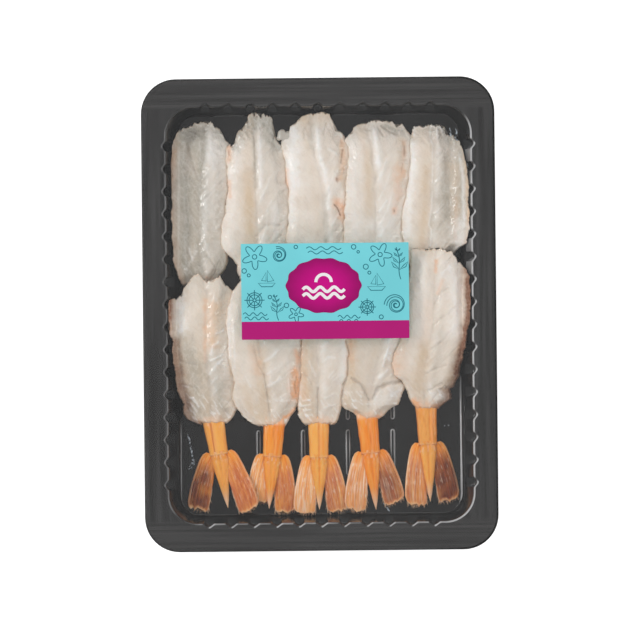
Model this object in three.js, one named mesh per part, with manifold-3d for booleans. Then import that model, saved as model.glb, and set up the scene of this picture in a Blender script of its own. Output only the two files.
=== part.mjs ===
// A sealed black tray of ten butterflied sushi shrimp in two overlapping rows, with a clear lid film and a printed
// label. Units are millimetres, +Z is up, +Y points from the front row to the back row, and the origin is the middle
// of the tray's foot.
import * as THREE from "three";
import { mergeVertices } from "three/addons/utils/BufferGeometryUtils.js";
import Module from "manifold-3d";

const wasm = await Module();
wasm.setup();

// Driving dimensions of the tray
const TRAY = {
  width: 142,
  length: 190,
  height: 16,
  sheet: 0.8,
  corner: 14,
  flangeSide: 9.8,
  flangeEnd: 11.4,
  wellCorner: 11.5,
  floorCorner: 8,
  draftSide: 3.9,
  draftEnd: 2.2,
  footFillet: 1,
  cornerSteps: 6,
};
const FLUTE = { radius: 1.9, setBack: 0.5, pitch: 9.07, perSide: 16, perEnd: 11, ledge: 8.2, ledgeFade: 1.3 };
const FLUTE_ANGLES = [-48, 0, 48];
const POCKET = {
  width: 16,
  length: 18.2,
  depth: 1,
  taper: 0.6,
  pitchX: 18.1,
  pitchY: 22.4,
  columns: 5,
  rows: 6,
};

// The film, the label, and the clearance that pieces lying on each other keep
const REST_GAP = 0.3;
const SEAL_GAP = 0.05;
const FILM = { thickness: 0.3, inset: 0.4 };
const LABEL = { width: 67.8, length: 39, thickness: 0.2, x: 3, y: 9.6, corner: 0.8 };

// Driving dimensions of a shrimp
const FLESH = {
  thickness: 5.6,
  headThickness: 2.9,
  endThickness: 3.9,
  furrowShare: 0.68,
  endFurrowShare: 0.97,
  edgeShare: 0.36,
  crest: 0.36,
  seamGap: 0.3,
  headNarrow: 0.93,
  endNarrow: 0.84,
  endLobe: 5.6,
  endLobePower: 5,
  ragged: 0.9,
  segments: 5,
  segmentDepth: 0.22,
  segmentSlant: 0.45,
  stepsLong: 16,
  stepsHalf: 4,
};
// A section lists points round a tail piece, as shares of its half width and of its height. A profile lists shares of
// the piece's length with the share of its width there.
const STEM = {
  width: 8.6,
  jointWidth: 7.1,
  height: 3.5,
  jointHeight: 3.2,
  length: 13.6,
  insideFlesh: 5,
  stations: [0.35, 0.8, 1],
  section: [[-1, 0.35], [-0.62, 0], [0.62, 0], [1, 0.35], [0.72, 0.86], [0, 1], [-0.72, 0.86]],
};
const TELSON = {
  length: 21.4,
  width: 7,
  height: 3,
  tipHeight: 1.6,
  profile: [[-0.08, 1], [0.12, 1], [0.5, 0.62], [0.85, 0.24], [1, 0.04]],
  section: [[-1, 0.5], [0, 0.22], [1, 0.5], [0, 1]],
};
const PADDLE = {
  length: 24.4,
  width: 8.9,
  thickness: 1.1,
  tipThickness: 0.66,
  base: 0.1,
  root: 3.2,
  setBack: 1.6,
  profile: [[0, 0.58], [0.14, 0.86], [0.5, 1], [0.82, 0.97], [0.95, 0.72], [1, 0.32]],
  section: [[-1, 0.3], [0, 0], [1, 0.3], [0.45, 1], [-0.45, 1]],
};

const FLOOR_TOP = POCKET.depth + TRAY.sheet;
const BED = FLOOR_TOP + REST_GAP;
// The bed that the flesh lies on is flat to this distance from the middle, and then curls up the side wall.
const BED_FLAT = 52.5;
const BED_CURL = 0.2;
// The back row's heads climb the end wall, as a square from a height of nothing at from to rise a run further on.
const HEAD_CLIMB = { from: 74, run: 8, rise: 5.6 };
// The front row climbs the back row's tails and then the ends of its flesh, each rise eased between two places.
const TAILS_CLIMB = { from: -42, to: -8, rise: 4.7 };
const FLESH_CLIMB = { from: 4, to: 16, rise: 1.2 };
// How far the flank lines wave, and the lengths along them that a drift and a wave are counted in
const FLANK = { outerSway: 0.3, innerSway: 0.5, driftRun: 30, waveRun: 12.5 };
const WELL = {
  halfWidth: TRAY.width / 2 - TRAY.flangeSide,
  halfLength: TRAY.length / 2 - TRAY.flangeEnd,
};

// Each row lists the six flank lines that its five shrimp lie between, from left to right, and how far each drifts.
// Each shrimp has its head's furthest point, where its flesh ends, where its tail starts, how far the tail leans in
// degrees, and the share of the width left of the furrow. peak is where across the head its furthest point is, from
// -1 to 1. From there the head's two shoulders fall back, the more suddenly the higher the row's powers for it. splay
// turns the two tail paddles outwards.
const BACK_ROW = {
  name: "back",
  flanks: [-59.2, -37.2, -12.4, 11.8, 35.4, 58.8],
  flankDrift: [-0.2, -0.2, 0.3, -0.2, -0.5, 0.3],
  shrimp: [
    { head: 78.6, end: 12.6, stem: -47.2, lean: 2, furrow: 0.62, peak: 0.15, shoulders: [7.7, 9.7] },
    { head: 81.1, end: 14.2, stem: -24.4, lean: -1, furrow: 0.53, peak: 0.27, shoulders: [12, 11.5] },
    { head: 81.2, end: 13.0, stem: -0.6, lean: 2, furrow: 0.56, peak: 0.15, shoulders: [11, 10] },
    { head: 78.2, end: 14.4, stem: 22.6, lean: -2, furrow: 0.51, peak: 0.2, shoulders: [6.9, 6.5] },
    { head: 76.4, end: 19.6, stem: 46.4, lean: 1, furrow: 0.49, peak: -0.2, shoulders: [4.5, 10] },
  ],
  powers: [[3, 3], [1.7, 4], [2.4, 2.8], [4, 4], [7, 4]],
  splay: [[5, 5], [5, 5], [5, 5], [5, 5], [5, 5]],
};
const FRONT_ROW = {
  name: "front",
  flanks: [-59.2, -35.6, -7.7, 12.0, 34.9, 59.2],
  flankDrift: [0.5, 0.8, -0.2, -1.2, -1.1, -0.4],
  shrimp: [
    { head: 17.2, end: -43.2, stem: -43.4, lean: 9, furrow: 0.6, peak: 0.1, shoulders: [9.7, 7.5] },
    { head: 19.4, end: -44.4, stem: -18.9, lean: -4, furrow: 0.5, peak: 0, shoulders: [6, 6.5] },
    { head: 20.6, end: -44.0, stem: -0.9, lean: 0, furrow: 0.4, peak: 0, shoulders: [5.5, 6.5] },
    { head: 21.4, end: -42.4, stem: 18.8, lean: 5, furrow: 0.55, peak: 0, shoulders: [6.5, 5.5] },
    { head: 26.2, end: -38.2, stem: 42.7, lean: 2, furrow: 0.47, peak: -0.2, shoulders: [3.4, 8] },
  ],
  powers: [[1.8, 2.6], [3, 3], [3, 3], [3, 3], [7, 3]],
  splay: [[26, 13], [6, 11], [8, 12], [11, 12], [6, 12]],
};
// Where two tails cross, the paddle on top is raised at its tip by this much, left and right.
const PADDLE_LIFT = { front_1: [0, 3.2], front_3: [1.6, 0], front_4: [1.6, 0], default: [0, 0] };

const COLOUR = {
  tray: 0x2c2b2c,
  film: 0xf4f7f8,
  label: 0x7fcfd8,
  flesh: 0xded2c4,
};

const mix = (a, b, t) => a + (b - a) * t;
const clamp01 = (t) => Math.min(1, Math.max(0, t));
const smooth = (a, b, t) => {
  const s = clamp01((t - a) / (b - a));
  return s * s * (3 - 2 * s);
};
const radians = THREE.MathUtils.degToRad;
const CORNER_SHARE = 0.2;

// A smooth irregular wave from -1 to 1, the same for the same seed.
function wave(seed, t) {
  return (
    0.5 * Math.sin(t + seed * 1.7) +
    0.3 * Math.sin(2.3 * t + seed * 4.1) +
    0.2 * Math.sin(4.9 * t + seed * 2.9)
  );
}

function geometryFrom(points, faces) {
  const geometry = new THREE.BufferGeometry();
  geometry.setAttribute("position", new THREE.Float32BufferAttribute(points.flat(), 3));
  geometry.setIndex(faces.flat());
  return geometry;
}

function solidOf(geometry) {
  const bare = geometry.clone();
  bare.deleteAttribute("normal");
  bare.deleteAttribute("uv");
  const merged = mergeVertices(bare, 1e-4);
  return new wasm.Manifold(
    new wasm.Mesh({
      numProp: 3,
      vertProperties: new Float32Array(merged.attributes.position.array),
      triVerts: new Uint32Array(merged.index.array),
    }),
  );
}

function geometryOf(solid) {
  const mesh = solid.getMesh();
  const geometry = new THREE.BufferGeometry();
  geometry.setAttribute("position", new THREE.Float32BufferAttribute(Array.from(mesh.vertProperties), 3));
  geometry.setIndex(Array.from(mesh.triVerts));
  return geometry;
}

// Joins two rows of vertex numbers, which may differ in count, by a strip of triangles. share gives how far along its
// row each vertex lies.
function strip(rowA, rowB, shareA, shareB, faces) {
  let i = 0;
  let j = 0;
  while (i < rowA.length - 1 || j < rowB.length - 1) {
    const stepA = j === rowB.length - 1 || (i < rowA.length - 1 && shareA[i + 1] <= shareB[j + 1]);
    faces.push(stepA ? [rowA[i], rowA[i + 1], rowB[j]] : [rowA[i], rowB[j + 1], rowB[j]]);
    if (stepA) i += 1;
    else j += 1;
  }
}

// A rounded rectangle's outline, as points with their share of the way round: four quarters, of which the first fifth
// is the corner and the rest the straight side after it.
function roundedOutline(halfWidth, halfLength, corner, steps) {
  const points = [];
  const centres = [
    [halfWidth - corner, halfLength - corner],
    [-(halfWidth - corner), halfLength - corner],
    [-(halfWidth - corner), -(halfLength - corner)],
    [halfWidth - corner, -(halfLength - corner)],
  ];
  centres.forEach(([cx, cy], quarter) => {
    for (let k = 0; k <= steps; k++) {
      const turn = k / steps;
      const angle = (Math.PI / 2) * (quarter + turn);
      points.push({
        x: cx + corner * Math.cos(angle),
        y: cy + corner * Math.sin(angle),
        share: quarter + turn * CORNER_SHARE,
      });
    }
  });
  return points;
}

// The wall's outline at a height: the rounded rectangle drawn in by the draft, with each flute standing out of it in
// an arc, closed to one point, or left out. grow moves the outline outwards by the sheet's thickness.
function wallOutline(z, flutes, grow) {
  const down = (TRAY.height - z) / (TRAY.height - FLOOR_TOP);
  const drawInSide = TRAY.draftSide * down;
  const drawInEnd = TRAY.draftEnd * down;
  const halfWidth = WELL.halfWidth - drawInSide + grow;
  const halfLength = WELL.halfLength - drawInEnd + grow;
  const corner = mix(TRAY.wellCorner, TRAY.floorCorner, clamp01(down)) + grow;
  const base = roundedOutline(halfWidth, halfLength, corner, TRAY.cornerSteps);
  if (flutes === "none") return base;
  const outline = [];
  const sides = [
    { count: FLUTE.perEnd, out: [0, 1], along: [-1, 0], edge: halfLength, drawIn: drawInEnd },
    { count: FLUTE.perSide, out: [-1, 0], along: [0, -1], edge: halfWidth, drawIn: drawInSide },
    { count: FLUTE.perEnd, out: [0, -1], along: [1, 0], edge: halfLength, drawIn: drawInEnd },
    { count: FLUTE.perSide, out: [1, 0], along: [0, 1], edge: halfWidth, drawIn: drawInSide },
  ];
  const perCorner = TRAY.cornerSteps + 1;
  sides.forEach((side, quarter) => {
    outline.push(...base.slice(quarter * perCorner, (quarter + 1) * perCorner));
    for (let k = 0; k < side.count; k++) {
      const middle = (k - (side.count - 1) / 2) * FLUTE.pitch;
      const flute = flutes === "closed" ? [[0, 0, 0.2]] : flutePoints(side.drawIn, grow);
      flute.forEach(([along, outwards, share]) => {
        const run = middle + along;
        outline.push({
          x: side.along[0] * run + side.out[0] * (side.edge + outwards),
          y: side.along[1] * run + side.out[1] * (side.edge + outwards),
          share: quarter + CORNER_SHARE + ((1 - CORNER_SHARE) * (k + share)) / side.count,
        });
      });
    }
  });
  return outline;
}

// One flute in plan, as steps along the wall, steps outwards from it and shares of its pitch. The flute stays upright
// while the wall draws in.
function flutePoints(drawIn, grow) {
  const radius = FLUTE.radius + grow;
  const centre = drawIn - FLUTE.setBack - grow;
  const halfChord = centre > 0 ? radius : Math.sqrt(radius ** 2 - centre ** 2);
  const arc = FLUTE_ANGLES.map((angle, n) => [
    radius * Math.sin(radians(angle)),
    centre + radius * Math.cos(radians(angle)),
    0.3 + 0.2 * n,
  ]);
  return [[-halfChord, 0, 0.1], ...arc, [halfChord, 0, 0.9]];
}

function boxFrustum(width, length, bottomZ, topZ, spread) {
  const box = new THREE.BoxGeometry(width, length, topZ - bottomZ);
  const position = box.attributes.position;
  for (let i = 0; i < position.count; i++) {
    if (position.getZ(i) > 0) {
      position.setX(i, position.getX(i) * (1 + (2 * spread) / width));
      position.setY(i, position.getY(i) * (1 + (2 * spread) / length));
    }
  }
  return box.translate(0, 0, (topZ + bottomZ) / 2);
}

// The formed sheet of the tray: rings from the flange's edge down the inside to the floor, and back up the outside.
function trayShell() {
  const top = TRAY.height;
  const under = top - TRAY.sheet;
  const ledge = top - FLUTE.ledge;
  const plain = ledge - FLUTE.ledgeFade;
  const flange = roundedOutline(TRAY.width / 2, TRAY.length / 2, TRAY.corner, TRAY.cornerSteps);
  const foot = (z, shrink) => {
    const low = wallOutline(z, "none", 0);
    const halfWidth = Math.max(...low.map((p) => p.x)) - shrink;
    const halfLength = Math.max(...low.map((p) => p.y)) - shrink;
    return roundedOutline(halfWidth, halfLength, TRAY.floorCorner - shrink / 2, TRAY.cornerSteps);
  };
  const footInside = foot(FLOOR_TOP, TRAY.footFillet);
  const footOutside = foot(POCKET.depth, TRAY.footFillet - TRAY.sheet / 2);
  const rings = [
    [flange, under],
    [flange, top],
    [wallOutline(top, "open", 0), top],
    [wallOutline(ledge, "open", 0), ledge],
    [wallOutline(plain, "closed", 0), plain],
    [wallOutline(FLOOR_TOP + TRAY.footFillet, "none", 0), FLOOR_TOP + TRAY.footFillet],
    [footInside, FLOOR_TOP],
  ];
  const outside = [
    [footOutside, POCKET.depth],
    [wallOutline(POCKET.depth + TRAY.footFillet, "none", TRAY.sheet), POCKET.depth + TRAY.footFillet],
    [wallOutline(plain - TRAY.sheet, "closed", TRAY.sheet), plain - TRAY.sheet],
    [wallOutline(ledge - TRAY.sheet, "open", TRAY.sheet), ledge - TRAY.sheet],
    [wallOutline(under, "open", TRAY.sheet), under],
  ];
  const points = [];
  const faces = [];
  const lay = ([outline, z]) =>
    outline.map((p) => {
      points.push([p.x, p.y, z]);
      return points.length - 1;
    });
  const closed = (row) => [...row, row[0]];
  const shares = ([outline]) => [...outline.map((p) => p.share), outline[0].share + 4];
  const join = (a, b, ringA, ringB) => strip(closed(a), closed(b), shares(ringA), shares(ringB), faces);
  const inner = rings.map(lay);
  for (let i = 0; i + 1 < rings.length; i++) join(inner[i], inner[i + 1], rings[i], rings[i + 1]);
  const outer = outside.map(lay);
  for (let i = 0; i + 1 < outside.length; i++) join(outer[i], outer[i + 1], outside[i], outside[i + 1]);
  join(outer.at(-1), inner[0], outside.at(-1), rings[0]);
  const cap = (row, up) => {
    for (let i = 1; i + 1 < row.length; i++) {
      faces.push(up ? [row[0], row[i], row[i + 1]] : [row[0], row[i + 1], row[i]]);
    }
  };
  cap(inner.at(-1), true);
  cap(outer[0], false);
  return solidOf(geometryFrom(points, faces));
}

// A box for each pocket in the floor, wider than the pocket by grow, between two heights.
function pocketBoxes(grow, bottomZ, topZ) {
  const boxes = [];
  for (let column = 0; column < POCKET.columns; column++) {
    for (let row = 0; row < POCKET.rows; row++) {
      const x = (column - (POCKET.columns - 1) / 2) * POCKET.pitchX;
      const y = (row - (POCKET.rows - 1) / 2) * POCKET.pitchY;
      const width = POCKET.width - POCKET.taper + grow;
      const length = POCKET.length - POCKET.taper + grow;
      boxes.push(solidOf(boxFrustum(width, length, bottomZ, topZ, POCKET.taper / 2).translate(x, y, 0)));
    }
  }
  return boxes;
}

function trayGeometry() {
  let tray = trayShell();
  const insideSheet = POCKET.depth + TRAY.sheet / 2;
  for (const bowl of pocketBoxes(TRAY.sheet, 0, insideSheet)) tray = tray.add(bowl);
  for (const hollow of pocketBoxes(0, TRAY.sheet, FLOOR_TOP + TRAY.sheet)) tray = tray.subtract(hollow);
  return geometryOf(tray);
}

function slabGeometry(width, length, corner, thickness, z) {
  const shape = new THREE.Shape();
  roundedOutline(width / 2, length / 2, corner, TRAY.cornerSteps).forEach((p, i) => {
    if (i) shape.lineTo(p.x, p.y);
    else shape.moveTo(p.x, p.y);
  });
  return new THREE.ExtrudeGeometry(shape, { depth: thickness, bevelEnabled: false }).translate(0, 0, z);
}

// Where flank line k of a row runs at a given y: straight, with a slow wave and a drift towards the tails.
function flankX(row, k, y) {
  const middle = (row.shrimp[0].head + row.shrimp[0].end) / 2;
  const drift = (row.flankDrift[k] * (middle - y)) / FLANK.driftRun;
  const sway = k === 0 || k === row.flanks.length - 1 ? FLANK.outerSway : FLANK.innerSway;
  return row.flanks[k] + drift + sway * wave(k + row.flanks[0], (middle - y) / FLANK.waveRun);
}

// The height of the underside of a row's flesh. The back row lies on the floor and climbs the end wall. The front row
// climbs from the floor over the back row's tails and onto the ends of its flesh.
function bedZ(row, x, y) {
  const wall = Math.max(0, Math.abs(x) - BED_FLAT);
  const curl = BED_CURL * wall * wall;
  if (row.name === "back") {
    return BED + curl + HEAD_CLIMB.rise * Math.max(0, (y - HEAD_CLIMB.from) / HEAD_CLIMB.run) ** 2;
  }
  const climb = (slope) => slope.rise * smooth(slope.from, slope.to, y);
  return BED + Math.max(curl, climb(TAILS_CLIMB) + climb(FLESH_CLIMB));
}

// One point of the flesh. u runs from the head to the end of the flesh. t runs from the left flank, -1, over the
// furrow, 0, to the right flank, 1.
function fleshPoint(row, index, u, t, top) {
  const shrimp = row.shrimp[index];
  const seed = index + (row.name === "back" ? 1 : 11);
  const furrow = mix(shrimp.furrow, 0.5, smooth(0.6, 1, u)) * 2 - 1;
  const v = furrow + t * (t < 0 ? 1 + furrow : 1 - furrow);
  const shoulder = v < shrimp.peak ? 0 : 1;
  const fromPeak = Math.abs(v - shrimp.peak) / (shoulder ? 1 - shrimp.peak : 1 + shrimp.peak);
  const ragged = FLESH.ragged * Math.max(0, wave(seed * 2.7, v * 7)) * (1 - v ** 4);
  const headY = shrimp.head - shrimp.shoulders[shoulder] * fromPeak ** row.powers[index][shoulder] - ragged;
  const endY = shrimp.end + FLESH.endLobe * Math.abs(v) ** FLESH.endLobePower;
  const y = mix(headY, endY, u);
  const left = flankX(row, index, y) + FLESH.seamGap / 2;
  const right = flankX(row, index + 1, y) - FLESH.seamGap / 2;
  const middle = mix(mix(left, right, 0.5), shrimp.stem, 0.6 * smooth(0.7, 1, u));
  const narrow =
    mix(FLESH.headNarrow, 1, smooth(0, 0.16, u)) * mix(1, FLESH.endNarrow, smooth(0.86, 1, u));
  const x = middle + v * (v < 0 ? middle - left : right - middle) * narrow;
  const bed = bedZ(row, x, y);
  if (!top) return [x, y, bed];
  const share = Math.abs(t);
  const body =
    mix(FLESH.headThickness, FLESH.thickness, smooth(0, 0.16, u)) *
    mix(1, FLESH.endThickness / FLESH.thickness, smooth(0.82, 1, u));
  const trough = mix(FLESH.furrowShare, FLESH.endFurrowShare, smooth(0.72, 0.95, u));
  const nearFurrow = mix(trough, 1, Math.sin((Math.PI / 2) * clamp01(share / FLESH.crest)));
  const outer = clamp01((share - FLESH.crest) / (1 - FLESH.crest));
  const form = nearFurrow * mix(FLESH.edgeShare, 1, Math.sqrt(1 - outer ** 2.4));
  const chevron = Math.abs(Math.sin(Math.PI * (u * FLESH.segments + share * FLESH.segmentSlant)));
  return [x, y, bed + body * form + FLESH.segmentDepth * (chevron - 1) * (1 - outer)];
}

function fleshSolid(row, index) {
  const { stepsLong, stepsHalf } = FLESH;
  const points = [];
  const faces = [];
  const add = (p) => points.push(p) - 1;
  const half = [...Array(stepsHalf)].map((_, j) => Math.sin((Math.PI / 2) * ((j + 1) / stepsHalf)));
  const across = [...half.toReversed().map((t) => -t), 0, ...half];
  const under = [...across.filter((_, j) => j % 2 === 0)];
  const along = [...Array(stepsLong + 1)].map((_, i) => {
    const even = i / stepsLong;
    return mix(even, (1 - Math.cos(Math.PI * even)) / 2, 0.5);
  });
  const topRows = along.map((u) => across.map((t) => add(fleshPoint(row, index, u, t, true))));
  const lowAcross = along.map((_, i) => (i === 0 || i === stepsLong ? across : under));
  const lowRows = along.map((u, i) => lowAcross[i].map((t) => add(fleshPoint(row, index, u, t, false))));
  for (let i = 0; i < stepsLong; i++) {
    strip(topRows[i + 1], topRows[i], across, across, faces);
    strip(lowRows[i], lowRows[i + 1], lowAcross[i], lowAcross[i + 1], faces);
    faces.push([topRows[i][0], lowRows[i][0], topRows[i + 1][0]]);
    faces.push([lowRows[i][0], lowRows[i + 1][0], topRows[i + 1][0]]);
    const [topA, topB] = [topRows[i].at(-1), topRows[i + 1].at(-1)];
    const [lowA, lowB] = [lowRows[i].at(-1), lowRows[i + 1].at(-1)];
    faces.push([topA, topB, lowA]);
    faces.push([lowA, topB, lowB]);
  }
  strip(topRows[0], lowRows[0], across, across, faces);
  strip(lowRows[stepsLong], topRows[stepsLong], across, across, faces);
  return solidOf(geometryFrom(points, faces));
}

// A closed solid through rings of equal count, with its two ends capped.
function loft(rings) {
  const count = rings[0].length;
  const points = rings.flat();
  const faces = [];
  for (let r = 0; r + 1 < rings.length; r++) {
    for (let k = 0; k < count; k++) {
      const next = (k + 1) % count;
      const [a, b] = [r * count + k, r * count + next];
      faces.push([a, b, a + count], [b, b + count, a + count]);
    }
  }
  const last = (rings.length - 1) * count;
  for (let k = 1; k + 1 < count; k++) {
    faces.push([0, k + 1, k]);
    faces.push([last, last + k, last + k + 1]);
  }
  return solidOf(geometryFrom(points, faces));
}

// Frame of a tail: a point a distance down the tail's axis, a step to its right, and a height above the bed.
function tailFrame(shrimp) {
  const lean = radians(shrimp.lean);
  const root = [shrimp.stem, shrimp.end];
  return (down, right, z) => [
    root[0] + down * Math.sin(lean) + right * Math.cos(lean),
    root[1] - down * Math.cos(lean) + right * Math.sin(lean),
    BED + z,
  ];
}

function stemSolid(at) {
  const rings = [-STEM.insideFlesh / STEM.length, ...STEM.stations].map((s) => {
    const halfWidth = mix(STEM.width, STEM.jointWidth, s) / 2;
    const height = mix(STEM.height, STEM.jointHeight, s);
    return STEM.section.map(([across, up]) => at(s * STEM.length, across * halfWidth, up * height));
  });
  return loft(rings);
}

function telsonSolid(at) {
  const rings = TELSON.profile.map(([s, share]) => {
    const halfWidth = (TELSON.width / 2) * share;
    const height = mix(TELSON.height, TELSON.tipHeight, Math.max(0, s));
    const down = STEM.length + s * TELSON.length;
    return TELSON.section.map(([across, up]) => at(down, across * halfWidth, up * height));
  });
  return loft(rings);
}

// A tail paddle: a flat blade with a raised back, broadest past its middle and cut off bluntly at its tip.
function paddleSolid(at, side, splay, lift) {
  const turn = radians(splay) * side;
  const rings = PADDLE.profile.map(([s, share]) => {
    const reach = s * PADDLE.length;
    const halfWidth = (PADDLE.width / 2) * share;
    const down = STEM.length - PADDLE.setBack + reach * Math.cos(turn);
    const right = side * PADDLE.root + reach * Math.sin(turn);
    const thick = mix(PADDLE.thickness, PADDLE.tipThickness, s);
    return PADDLE.section.map(([across, up]) => {
      const step = across * halfWidth;
      const z = PADDLE.base + lift * s + up * thick;
      return at(down - step * Math.sin(turn), right + step * Math.cos(turn), z);
    });
  });
  return loft(rings);
}

function shrimpGeometry(row, index) {
  const shrimp = row.shrimp[index];
  const lifts = PADDLE_LIFT[`${row.name}_${index + 1}`] ?? PADDLE_LIFT.default;
  const at = tailFrame(shrimp);
  let shrimpSolid = fleshSolid(row, index).add(stemSolid(at)).add(telsonSolid(at));
  [-1, 1].forEach((side, n) => {
    shrimpSolid = shrimpSolid.add(paddleSolid(at, side, row.splay[index][n], lifts[n]));
  });
  return geometryOf(shrimpSolid);
}

function named(name, geometry, material) {
  const mesh = new THREE.Mesh(geometry, material);
  mesh.name = name;
  return mesh;
}

const materials = {
  tray: new THREE.MeshStandardMaterial({ color: COLOUR.tray, roughness: 0.35 }),
  film: new THREE.MeshStandardMaterial({
    color: COLOUR.film,
    roughness: 0.08,
    transparent: true,
    opacity: 0.12,
  }),
  label: new THREE.MeshStandardMaterial({ color: COLOUR.label, roughness: 0.55 }),
  flesh: new THREE.MeshStandardMaterial({ color: COLOUR.flesh, roughness: 0.32 }),
};

const dish = new THREE.Group();
dish.add(named("tray", trayGeometry(), materials.tray));

const filmZ = TRAY.height + SEAL_GAP;
dish.add(
  named(
    "lid_film",
    slabGeometry(
      TRAY.width - 2 * FILM.inset,
      TRAY.length - 2 * FILM.inset,
      TRAY.corner - FILM.inset,
      FILM.thickness,
      filmZ,
    ),
    materials.film,
  ),
);

const label = named(
  "label",
  slabGeometry(LABEL.width, LABEL.length, LABEL.corner, LABEL.thickness, filmZ + FILM.thickness + SEAL_GAP),
  materials.label,
);
label.position.set(LABEL.x, LABEL.y, 0);
dish.add(label);

for (const row of [BACK_ROW, FRONT_ROW]) {
  row.shrimp.forEach((_, index) => {
    dish.add(named(`shrimp_${row.name}_${index + 1}`, shrimpGeometry(row, index), materials.flesh));
  });
}

export default dish;
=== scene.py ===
"""The looks of a sealed tray of butterflied sushi shrimp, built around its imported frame.

Sizes are in millimetres in the tray's own frame: +Z up, +Y from the front row to the back row, and the origin
in the middle of the tray's foot. Meshes are scaled to metres as they are made.
"""

from __future__ import annotations

import logging
import math
from collections.abc import Callable
from dataclasses import dataclass, field
from enum import Enum
from functools import partial

import bpy
import numpy as np
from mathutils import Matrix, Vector

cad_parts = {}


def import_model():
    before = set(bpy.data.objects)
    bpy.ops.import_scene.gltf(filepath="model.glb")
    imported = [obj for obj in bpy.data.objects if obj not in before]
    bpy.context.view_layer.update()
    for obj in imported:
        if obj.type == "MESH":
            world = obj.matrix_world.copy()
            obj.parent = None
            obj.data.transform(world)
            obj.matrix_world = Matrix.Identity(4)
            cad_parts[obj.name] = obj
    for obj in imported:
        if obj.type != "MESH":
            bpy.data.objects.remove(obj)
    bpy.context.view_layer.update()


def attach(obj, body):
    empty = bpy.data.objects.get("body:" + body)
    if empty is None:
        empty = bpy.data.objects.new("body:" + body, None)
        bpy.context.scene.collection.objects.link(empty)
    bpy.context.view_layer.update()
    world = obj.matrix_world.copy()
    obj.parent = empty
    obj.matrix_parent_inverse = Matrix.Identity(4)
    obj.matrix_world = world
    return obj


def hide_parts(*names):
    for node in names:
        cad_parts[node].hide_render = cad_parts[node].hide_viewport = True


LOG = logging.getLogger("shrimp_tray")
MM = 0.001
MERGE_REACH = 1e-4
BODY = "root"
Point = tuple[float, float]
Path = tuple[Point, ...]
Colour = tuple[float, float, float]
Array = np.ndarray
Piece = bpy.types.Object
Material = bpy.types.Material
Socket = bpy.types.NodeSocket
Flute = Callable[[bool], list[Point]]


def smooth(low: float, high: float, t: Array) -> Array:
    """Ease from 0 at low to 1 at high."""
    s = np.clip((np.asarray(t, dtype=float) - low) / (high - low), 0, 1)
    return s * s * (3 - 2 * s)


def mix(a: Array, b: Array, t: Array) -> Array:
    """Blend from a to b by t."""
    return a + (b - a) * t


def bell(distance: Array, width: float) -> Array:
    """A soft hump, 1 at no distance and nearly 0 two widths away."""
    return np.exp(-((distance / width) ** 2))


def quarter_round(distance: Array, radius: float) -> Array:
    """The height share of an edge rounded to a radius, at a distance in from it."""
    s = np.clip(distance / radius, 0, 1)
    return np.sqrt(np.clip(1 - (1 - s) ** 2, 0, 1))


class Noise:
    """Seeded smooth noise from -1 to 1 over two coordinates."""

    SIZE = 128

    def __init__(self, seed: int) -> None:
        """Draw the lattice of a seed."""
        self.lattice = np.random.default_rng(seed).uniform(-1, 1, (self.SIZE, self.SIZE))

    def at(self, x: Array, y: Array, cell_x: float, cell_y: float | None = None) -> Array:
        """Read the noise.

        Args:
            x: first coordinates.
            y: second coordinates.
            cell_x: size of the noise along the first coordinate.
            cell_y: size along the second, or the same when left out.

        Returns:
            One value from -1 to 1 for each point.
        """
        gx = np.asarray(x, dtype=float) / cell_x
        gy = np.asarray(y, dtype=float) / (cell_y or cell_x)
        ix, iy = np.floor(gx).astype(int), np.floor(gy).astype(int)
        fx, fy = smooth(0, 1, gx - ix), smooth(0, 1, gy - iy)
        corner = lambda a, b: self.lattice[(ix + a) % self.SIZE, (iy + b) % self.SIZE]
        low = mix(corner(0, 0), corner(1, 0), fx)
        return mix(low, mix(corner(0, 1), corner(1, 1), fx), fy)


def path_distance(x: Array, y: Array, path: Path) -> Array:
    """The distance from each point to a bent line."""
    best = np.full(np.shape(x), np.inf)
    for (ax, ay), (bx, by) in zip(path, path[1:]):
        run = (bx - ax) ** 2 + (by - ay) ** 2
        t = np.clip(((x - ax) * (bx - ax) + (y - ay) * (by - ay)) / run, 0, 1)
        best = np.minimum(best, np.hypot(x - ax - t * (bx - ax), y - ay - t * (by - ay)))
    return best


# Modelling


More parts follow.
